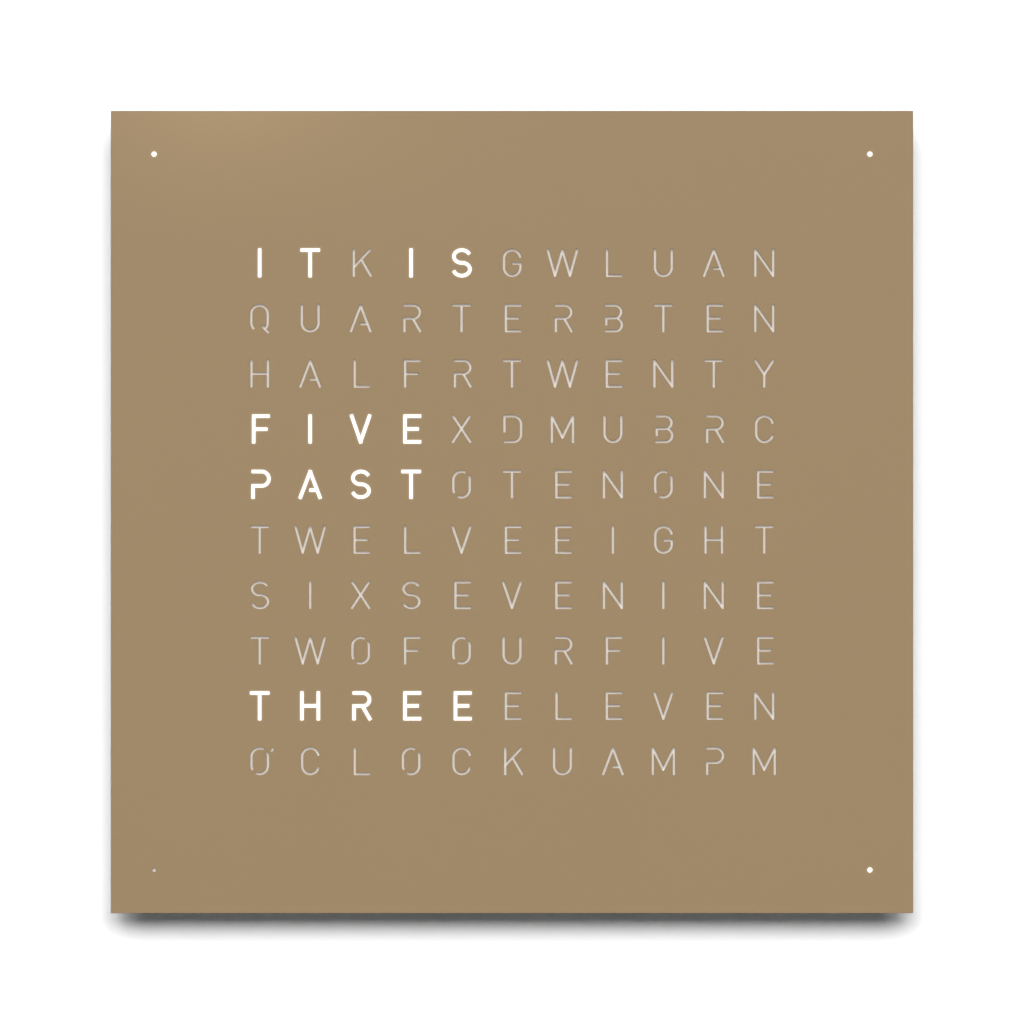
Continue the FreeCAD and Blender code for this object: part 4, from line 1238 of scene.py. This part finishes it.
    def rim(self, start: int) -> tuple[np.ndarray, np.ndarray]:
        """Rounded front rim, side and back border of the sheet.

        Square rings follow the profile (inset, depth): a quarter circle of the rim's radius, the
        straight side and a short border on the back.

        Args:
            start: number that the first of the new corners gets.

        Returns:
            The corners, and the faces as rows of four corner numbers.
        """
        angle = np.linspace(0, np.pi / 2, self.rim_steps + 1)
        inset = (self.half - self.inner) * np.concatenate([1 - np.sin(angle), [0.0, 1.0]])
        place = np.concatenate(
            [self.front + self.rim_round * (1 - np.cos(angle)), [self.back, self.back]]
        )
        signs = np.array([(-1, -1), (1, -1), (1, 1), (-1, 1)], dtype=float)
        reach = (self.half - inset)[:, None, None] * signs[None]
        depth = np.broadcast_to(place[:, None], reach.shape[:2])
        corners = np.stack([reach[..., 0], depth, reach[..., 1]], axis=2).reshape(-1, 3)
        ring = start + np.arange(len(inset) - 1)[:, None] * 4
        near = ring + np.arange(4)
        following = ring + (np.arange(4) + 1) % 4
        faces = np.stack([near, near + 4, following + 4, following], axis=2).reshape(-1, 4)
        return corners, faces


@dataclass
class LitWindow:
    """Opal sheet behind the letters, and the lenses behind the minute dots."""

    opal: Finish
    cover: LetteredCover
    lens_crown: float = 0.25 * MM
    lens_steps: int = 6
    lens_sides: int = 40
    lens_turn: float = 0.46 * math.pi

    def glow_layers(self, piece: bpy.types.Object, place: np.ndarray, lit: np.ndarray) -> None:
        """Write the chamber map and the lit attribute.

        Args:
            piece: the piece that gets them.
            place: map place of each face corner.
            lit: 0 or 1 for each face.
        """
        chart = piece.data.uv_layers.new(name="chamber")
        chart.data.foreach_set("uv", place.astype(np.float32).ravel())
        layer = piece.data.attributes.new("lit", "FLOAT", "FACE")
        layer.data.foreach_set("value", lit.astype(np.float32))

    def sheet(self) -> bpy.types.Object:
        """Sheet whose front has one face per chamber, closed by a plain back and border.

        Its corners are the grid of (x, z) that the chambers' walls cut, at two depths.

        Returns:
            The sheet.
        """
        low, high = node_place("opal_sheet")
        columns = len(WORD_ROWS[0])
        rows = len(WORD_ROWS)
        inner_x = columns * self.cover.pitch_x / 2
        inner_z = rows * self.cover.pitch_z / 2
        across = np.concatenate([[low[0]], np.linspace(-inner_x, inner_x, columns + 1), [high[0]]])
        up = np.concatenate([[low[2]], np.linspace(-inner_z, inner_z, rows + 1), [high[2]]])
        grid_x, grid_z = (axis.ravel() for axis in np.meshgrid(across, up))
        count = len(grid_x)
        front = np.column_stack([grid_x, np.full(count, low[1]), grid_z])
        back = np.column_stack([grid_x, np.full(count, high[1]), grid_z])
        width = len(across)
        cell_x, cell_z = (
            axis.ravel() for axis in np.meshgrid(np.arange(width - 1), np.arange(len(up) - 1))
        )
        base = cell_z * width + cell_x
        quads = np.column_stack([base, base + 1, base + 1 + width, base + width])
        ring = np.concatenate(
            [
                np.arange(width - 1),
                np.arange(width - 1, count - 1, width),
                np.arange(count - 1, count - width, -1),
                np.arange(count - width, 0, -width),
            ]
        )
        after = np.roll(ring, -1)
        border = np.column_stack([after, ring, ring + count, after + count])
        faces = np.vstack([quads, quads[:, ::-1] + count, border])
        piece = make_piece("lit_opal_sheet", np.vstack([front, back]), faces.tolist(), [self.opal])
        lit = np.zeros(len(faces))
        for row, lit_columns in LIT_CELLS.items():
            number = (rows - row) * (width - 1) + 1 + np.array(lit_columns)
            lit[number] = 1.0
            lit[number + len(quads)] = 1.0
        in_field = (cell_x >= 1) & (cell_x <= columns) & (cell_z >= 1) & (cell_z <= rows)
        square = np.array([(0, 0), (1, 0), (1, 1), (0, 1)], dtype=float)
        place = np.zeros((len(faces), 4, 2))
        place[: len(quads)][in_field] = square
        place[len(quads) : 2 * len(quads)][in_field] = square[::-1]
        self.glow_layers(piece, place, lit)
        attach(piece, "case")
        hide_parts("opal_sheet")
        report(piece, "opal sheet with its lit chambers")
        return piece

    def lens_shape(self, radius: float, back: float, front: float) -> tuple[np.ndarray, np.ndarray]:
        """A lens turned about its axis: a straight side and a domed crown.

        The profile is (radius, depth), and on the crown (radius cos a, crown (1 - sin a)) for a
        from 0 to `lens_turn`, nearly a quarter turn.

        Args:
            radius: the lens's radius.
            back: depth of its back.
            front: depth of its crown's top.

        Returns:
            The corners, and the side's faces as rows of four corner numbers.
        """
        swell = np.linspace(0, self.lens_turn, self.lens_steps)
        wide = np.concatenate([[radius], radius * np.cos(swell)])
        depth = np.concatenate([[back], front + self.lens_crown * (1 - np.sin(swell))])
        turn = np.linspace(0, 2 * np.pi, self.lens_sides, endpoint=False)
        shape = np.stack(
            [
                wide[:, None] * np.cos(turn),
                np.broadcast_to(depth[:, None], (len(wide), self.lens_sides)),
                wide[:, None] * np.sin(turn),
            ],
            axis=2,
        )
        rows = np.arange(len(wide) - 1)[:, None] * self.lens_sides
        near = rows + np.arange(self.lens_sides)
        following = rows + (np.arange(self.lens_sides) + 1) % self.lens_sides
        faces = np.stack(
            [near, following, following + self.lens_sides, near + self.lens_sides], axis=2
        )
        return shape.reshape(-1, 3), faces.reshape(-1, 4)

    def lenses(self) -> bpy.types.Object:
        """Four round lenses, each lit where its minute is on.

        Returns:
            The lenses as one piece.
        """
        low, high = node_place("minute_lenses")
        spot = self.cover.half - self.cover.dot_inset
        shape, side = self.lens_shape(high[0] - spot, high[1], low[1])
        middle = spot * np.array([(x, 0, z) for x, z in CORNERS], dtype=float)
        points = (shape[None] + middle[:, None]).reshape(-1, 3)
        faces: list[list[int]] = []
        lit: list[float] = []
        for number, corner in enumerate(CORNERS):
            start = number * len(shape)
            back = np.arange(start, start + self.lens_sides)[::-1]
            top = np.arange(start + len(shape) - self.lens_sides, start + len(shape))
            faces += (side + start).tolist() + [back.tolist(), top.tolist()]
            lit += [float(corner not in UNLIT_CORNERS)] * (len(side) + 2)
        piece = make_piece("minute_lens_set", points, faces, [self.opal])
        self.glow_layers(piece, np.full((len(piece.data.loops), 2), 0.5), np.array(lit))
        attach(piece, "case")
        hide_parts("minute_lenses")
        report(piece, "lenses of the minute dots")
        return piece

    def build(self) -> None:
        """Make the sheet and the lenses."""
        self.sheet()
        self.lenses()


@dataclass
class Dressing:
    """Finishes for the CAD nodes that are shown as they are."""

    finish: Finish
    nodes: Sequence[str]

    def apply(self) -> None:
        """Give every material slot of the nodes the finish."""
        material = self.finish.material()
        for name in self.nodes:
            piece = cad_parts[name]
            if not piece.material_slots:
                piece.data.materials.append(material)
            for place in piece.material_slots:
                place.material = material
            log.info("%s: %s", name, self.finish.name)


@dataclass
class Casework:
    """Frame rails, brackets, magnets, panels, pads and their screws."""

    def dressings(self) -> list[Dressing]:
        """Finishes of the case's pieces.

        Returns:
            One dressing per finish.
        """
        silver = (0.42, 0.42, 0.41)
        along_x = Metal("anodised_rail_across", silver, 0.34, Grain.ALONG_X, share=0.09)
        along_z = Metal("anodised_rail_upright", silver, 0.34, Grain.ALONG_Z, share=0.09)
        cast = Metal(
            "cast_bracket_metal", (0.5, 0.5, 0.49), 0.5, line_size=0.8 * MM, line_height=0.02 * MM
        )
        nickel = Metal("nickel_plate", (0.66, 0.64, 0.6), 0.16, line_height=0.001 * MM)
        zinc = Metal(
            "zinc_plate", (0.5, 0.51, 0.52), 0.26, line_size=0.5 * MM, line_height=0.002 * MM
        )
        black = (0.034, 0.034, 0.036)
        panel = PowderCoat("black_panel_coat", black, 0.42, grain_height=0.02 * MM, share=0.12)
        rubber = Moulding("pad_rubber", (0.028, 0.027, 0.026), 0.78, 0.3 * MM, 0.02 * MM, 0.15)
        white = Moulding("white_carrier", (0.78, 0.77, 0.74), 0.48)
        return [
            Dressing(along_x, ("rail_top", "rail_bottom")),
            Dressing(along_z, ("rail_left", "rail_right")),
            Dressing(cast, ["corner_bracket_" + corner for corner in CORNER_NAMES]),
            Dressing(nickel, ("cover_magnets",)),
            Dressing(
                zinc,
                (
                    "cover_studs",
                    "bracket_screws",
                    "rear_panel_screws",
                    "carrier_screws",
                    "carrier_pillars",
                    "grid_screws",
                    "control_screws",
                    "control_standoffs",
                ),
            ),
            Dressing(panel, ("rear_panel",)),
            Dressing(rubber, ("wall_pads",)),
            Dressing(white, ("carrier_panel",)),
        ]

    def build(self) -> None:
        """Dress the case."""
        for dressing in self.dressings():
            dressing.apply()


@dataclass
class LightEngine:
    """Light grid, lamp boards, lamps, light cups, spacers and leads."""

    pitch_x: float
    pitch_z: float

    def build(self) -> None:
        """Dress what makes and guides the light."""
        cups = ["light_cup_" + corner for corner in CORNER_NAMES]
        boards = ["corner_board_" + corner for corner in CORNER_NAMES]
        white = Moulding("white_grid", (0.8, 0.79, 0.76), 0.5, 0.9 * MM, 0.012 * MM)
        board = CircuitBoard("lamp_board_mask", (0.012, 0.1, 0.04), (0.03, 0.19, 0.08))
        lamp = LampBody(
            "lamp_body",
            (0.8, 0.79, 0.75),
            (0.82, 0.6, 0.14),
            self.pitch_x,
            self.pitch_z,
            self.pitch_z / 2,
        )
        spare = Moulding("corner_lamp_body", (0.8, 0.74, 0.5), 0.3, 1.2 * MM)
        sleeve = Moulding("lead_sleeve", (0.3, 0.3, 0.31), 0.55, 0.8 * MM)
        for dressing in (
            Dressing(white, ["light_grid", "board_spacers", *cups]),
            Dressing(board, ["lamp_board", *boards]),
            Dressing(lamp, ("letter_lamps",)),
            Dressing(spare, ("corner_lamps",)),
            Dressing(sleeve, ("corner_leads",)),
        ):
            dressing.apply()


@dataclass
class ControlDeck:
    """Control board, its parts, the push buttons, the sensor and the power inlet."""

    button_names: tuple[str, ...] = ("hour", "minute", "light")

    def build(self) -> None:
        """Dress the electronics and the controls."""
        board = CircuitBoard("control_board_mask", (0.012, 0.1, 0.04), (0.03, 0.19, 0.08), 2.2 * MM)
        black = Moulding("black_component", (0.02, 0.02, 0.021), 0.42, 0.4 * MM, 0.01 * MM, 0.1)
        chip = Moulding("chip_resin", (0.016, 0.016, 0.017), 0.5, 0.25 * MM, 0.012 * MM, 0.1)
        can = Metal("drawn_can", (0.68, 0.68, 0.66), 0.24)
        button = Moulding("button_plastic", (0.035, 0.035, 0.037), 0.4, 0.3 * MM, 0.006 * MM, 0.1)
        resin = Moulding("sensor_resin", (0.05, 0.05, 0.06), 0.12, 2 * MM, 0.001 * MM, 0.05, 0.8)
        ribbon = Ribbon("ribbon_sleeve", (0.36, 0.36, 0.37))
        switches = ["switch_" + name for name in self.button_names]
        keys = [kind + name for name in self.button_names for kind in ("button_", "plunger_")]
        for dressing in (
            Dressing(board, ("control_board",)),
            Dressing(
                black,
                ["regulator", "cell_holder", "power_inlet", "link_sockets", "capacitor", *switches],
            ),
            Dressing(chip, ("microcontroller",)),
            Dressing(can, ("clock_crystal", "backup_cell")),
            Dressing(button, keys),
            Dressing(resin, ("light_sensor",)),
            Dressing(ribbon, ("link_cable",)),
        ):
            dressing.apply()


@dataclass(frozen=True)
class Lamp(ABC):
    """A studio light that isn't seen by the camera."""

    name: str
    place: tuple[float, float, float]
    strength: float

    @abstractmethod
    def data(self) -> bpy.types.Light:
        """The light itself."""

    def heading(self) -> Vector:
        """Way that the light shines: to the clock's middle."""
        return -Vector(self.place)

    def hang(self) -> None:
        """Make the light and turn it."""
        lamp = bpy.data.objects.new(self.name, self.data())
        lamp.location = self.place
        lamp.rotation_mode = "QUATERNION"
        lamp.rotation_quaternion = self.heading().to_track_quat("-Z", "Y")
        lamp.visible_camera = False
        bpy.context.scene.collection.objects.link(lamp)
        log.info("%s: %.2f", self.name, self.strength)


@dataclass(frozen=True)
class FarBox(Lamp):
    """A soft box so far off that its light is even over the clock."""

    spread: float

    def data(self) -> bpy.types.Light:
        """A wide sun, whose spread is the box's apparent size in degrees.

        Returns:
            The light.
        """
        light = bpy.data.lights.new(self.name, "SUN")
        light.energy = self.strength
        light.angle = math.radians(self.spread)
        return light


@dataclass(frozen=True)
class NearBox(Lamp):
    """A soft box near the clock, with no mirror image."""

    width: float
    height: float
    aim: tuple[float, float, float]

    def heading(self) -> Vector:
        """Way that the light shines, as it is given."""
        return Vector(self.aim)

    def hang(self) -> None:
        """Make the light, and hide it from mirrored rays."""
        super().hang()
        bpy.data.objects[self.name].visible_glossy = False

    def data(self) -> bpy.types.Light:
        """An area light.

        Returns:
            The light.
        """
        light = bpy.data.lights.new(self.name, "AREA")
        light.energy = self.strength
        light.shape = "RECTANGLE"
        light.size = self.width
        light.size_y = self.height
        return light


@dataclass
class Studio:
    """White wall, pale floor, soft light and the camera."""

    wall_place: float = 0.4 * MM
    wall_half: float = 1.1
    wall_white: float = 1.27
    floor_drop: float = 0.9
    floor_half: float = 6.0
    floor_white: float = 1.8
    ambient: float = 0.088
    key_rise: float = 31.0
    key_turn: float = 23.0
    key_spread: float = 38.0
    key_strength: float = 1.14
    edge_place: tuple[float, float, float] = (-0.159, -0.113, 0.24)
    edge_aim: tuple[float, float, float] = (0.04, 0.71, 0.7)
    edge_strength: float = 0.031
    edge_width: float = 0.06
    edge_height: float = 0.03
    rear_place: tuple[float, float, float] = (0.6, 1.0, 0.45)
    rear_strength: float = 1.2
    rear_spread: float = 100.0
    lens: float = 200.0
    sensor: float = 36.0
    view_width: float = 574.2 * MM

    def plane(self, name: str, corners: Sequence[tuple[float, float, float]]) -> bpy.types.Object:
        """One four-cornered face of the set.

        Args:
            name: the face's name.
            corners: its four corners, anticlockwise as seen from its front.

        Returns:
            The face.
        """
        mesh = bpy.data.meshes.new(name)
        mesh.from_pydata(corners, [], [(0, 1, 2, 3)])
        piece = bpy.data.objects.new(name, mesh)
        bpy.context.scene.collection.objects.link(piece)
        return piece

    def paint(self, name: str, white: float, stops: bool) -> bpy.types.Material:
        """Matt paint on a face's front, and clear air for what comes from behind.

        Only straight rays see the paint. Mirrored rays pass on to the white air behind it, and
        so does the light that falls straight on the clock's back.

        Args:
            name: the material's name.
            white: how much of the light the front gives back.
            stops: whether bounced light ends here, so that lamps behind don't reach the front.

        Returns:
            The material.
        """
        recipe = Recipe(name)
        path = recipe.add("ShaderNodeLightPath")
        back = recipe.add("ShaderNodeNewGeometry").outputs["Backfacing"]
        front = recipe.math("SUBTRACT", 1.0, back)
        painted = recipe.math("MULTIPLY", path.outputs["Is Camera Ray"], front)
        clear = recipe.math("SUBTRACT", 1.0, painted)
        if stops:
            direct = recipe.math("LESS_THAN", path.outputs["Diffuse Depth"], 0.5)
            clear = recipe.math("MULTIPLY", direct, clear)
        shade = recipe.mottle(recipe.noise(0.4), (white, white, white), 0.004)
        paint = recipe.add("ShaderNodeBsdfDiffuse")
        recipe.join(recipe.blend(painted, (0.0, 0.0, 0.0), shade), paint.inputs["Color"])
        air = recipe.add("ShaderNodeBsdfTransparent")
        mix = recipe.add("ShaderNodeMixShader")
        recipe.join(clear, mix.inputs[0])
        recipe.join(paint.outputs[0], mix.inputs[1])
        recipe.join(air.outputs[0], mix.inputs[2])
        recipe.join(mix.outputs[0], recipe.output.inputs["Surface"])
        recipe.tree.nodes.remove(recipe.shader)
        return recipe.material

    def wall(self) -> None:
        """White wall behind the clock, which takes its shadow and is clear from behind."""
        half = self.wall_half
        y = self.wall_place
        low = -self.floor_drop
        corners = [(-half, y, low), (half, y, low), (half, y, half), (-half, y, half)]
        piece = self.plane("wall", corners)
        piece.data.materials.append(self.paint("wall_paint", self.wall_white, stops=True))

    def floor(self) -> None:
        """Pale floor well below the clock."""
        half = self.floor_half
        z = -self.floor_drop
        corners = [(-half, -half, z), (half, -half, z), (half, half, z), (-half, half, z)]
        piece = self.plane("floor", corners)
        piece.data.materials.append(self.paint("floor_paint", self.floor_white, stops=False))

    def sky(self) -> None:
        """White surroundings for what is seen, and a low even light on the object."""
        world = bpy.data.worlds.new("studio_air")
        world.use_nodes = True
        tree = world.node_tree
        tree.nodes.clear()
        output = tree.nodes.new("ShaderNodeOutputWorld")
        shown = tree.nodes.new("ShaderNodeBackground")
        dim = tree.nodes.new("ShaderNodeBackground")
        dim.inputs["Strength"].default_value = self.ambient
        mix = tree.nodes.new("ShaderNodeMixShader")
        path = tree.nodes.new("ShaderNodeLightPath")
        first = tree.nodes.new("ShaderNodeMath")
        second = tree.nodes.new("ShaderNodeMath")
        first.operation = second.operation = "MAXIMUM"
        shown.inputs["Color"].default_value = (1.0, 1.0, 1.0, 1.0)
        dim.inputs["Color"].default_value = (1.0, 1.0, 1.0, 1.0)
        tree.links.new(path.outputs["Is Camera Ray"], first.inputs[0])
        tree.links.new(path.outputs["Is Glossy Ray"], first.inputs[1])
        tree.links.new(first.outputs[0], second.inputs[0])
        tree.links.new(path.outputs["Is Transmission Ray"], second.inputs[1])
        tree.links.new(second.outputs[0], mix.inputs[0])
        tree.links.new(dim.outputs[0], mix.inputs[1])
        tree.links.new(shown.outputs[0], mix.inputs[2])
        tree.links.new(mix.outputs[0], output.inputs["Surface"])
        bpy.context.scene.world = world

    def lights(self) -> None:
        """Key boxes above the camera, a small one by the upper left corner and two behind."""
        rise = math.radians(self.key_rise)
        for side, name in ((-1, "key_left"), (0, "key_middle"), (1, "key_right")):
            turn = math.radians(side * self.key_turn)
            place = (math.sin(turn), -math.cos(turn), math.tan(rise))
            FarBox(name, place, self.key_strength, self.key_spread).hang()
        NearBox(
            "edge_box",
            self.edge_place,
            self.edge_strength,
            self.edge_width,
            self.edge_height,
            self.edge_aim,
        ).hang()
        for side, name in ((-1, "rear_left"), (1, "rear_right")):
            place = (side * self.rear_place[0], *self.rear_place[1:])
            FarBox(name, place, self.rear_strength, self.rear_spread).hang()

    def camera(self) -> None:
        """Camera straight in front, as far as its lens needs for the view's width."""
        front = node_place("front_cover")[0][1]
        data = bpy.data.cameras.new("front_view")
        data.lens = self.lens
        data.sensor_width = self.sensor
        distance = self.view_width * self.lens / self.sensor
        viewer = bpy.data.objects.new("front_view", data)
        viewer.location = (0.0, front - distance, 0.0)
        viewer.rotation_euler = (math.pi / 2, 0.0, 0.0)
        data.clip_end = 50.0
        bpy.context.scene.collection.objects.link(viewer)
        bpy.context.scene.camera = viewer

    def build(self) -> None:
        """Set up the whole studio."""
        bpy.context.scene.view_settings.view_transform = "Standard"
        self.camera()
        self.wall()
        self.floor()
        self.sky()
        self.lights()


def main() -> None:
    """Build the studio, the lettered cover and its light, then dress the CAD pieces."""
    logging.basicConfig(level=logging.INFO, format="%(message)s")
    Studio().build()
    sand = (0.33, 0.231, 0.123)
    # the coat takes a painted glow round lit slots
    coat = PowderCoat("sand_bronze_coat", sand, glow=(1.0, 0.95, 0.88))
    # the bevels and walls of lit slots take a painted glow
    cover = LetteredCover(coat, PaintedGlowEdge("painted_glow_slot_edge"))
    cover.build()
    LitWindow(Opal("opal_glow"), cover).build()
    Casework().build()
    LightEngine(cover.pitch_x, cover.pitch_z).build()
    ControlDeck().build()


if __name__ == "__main__":
    main()
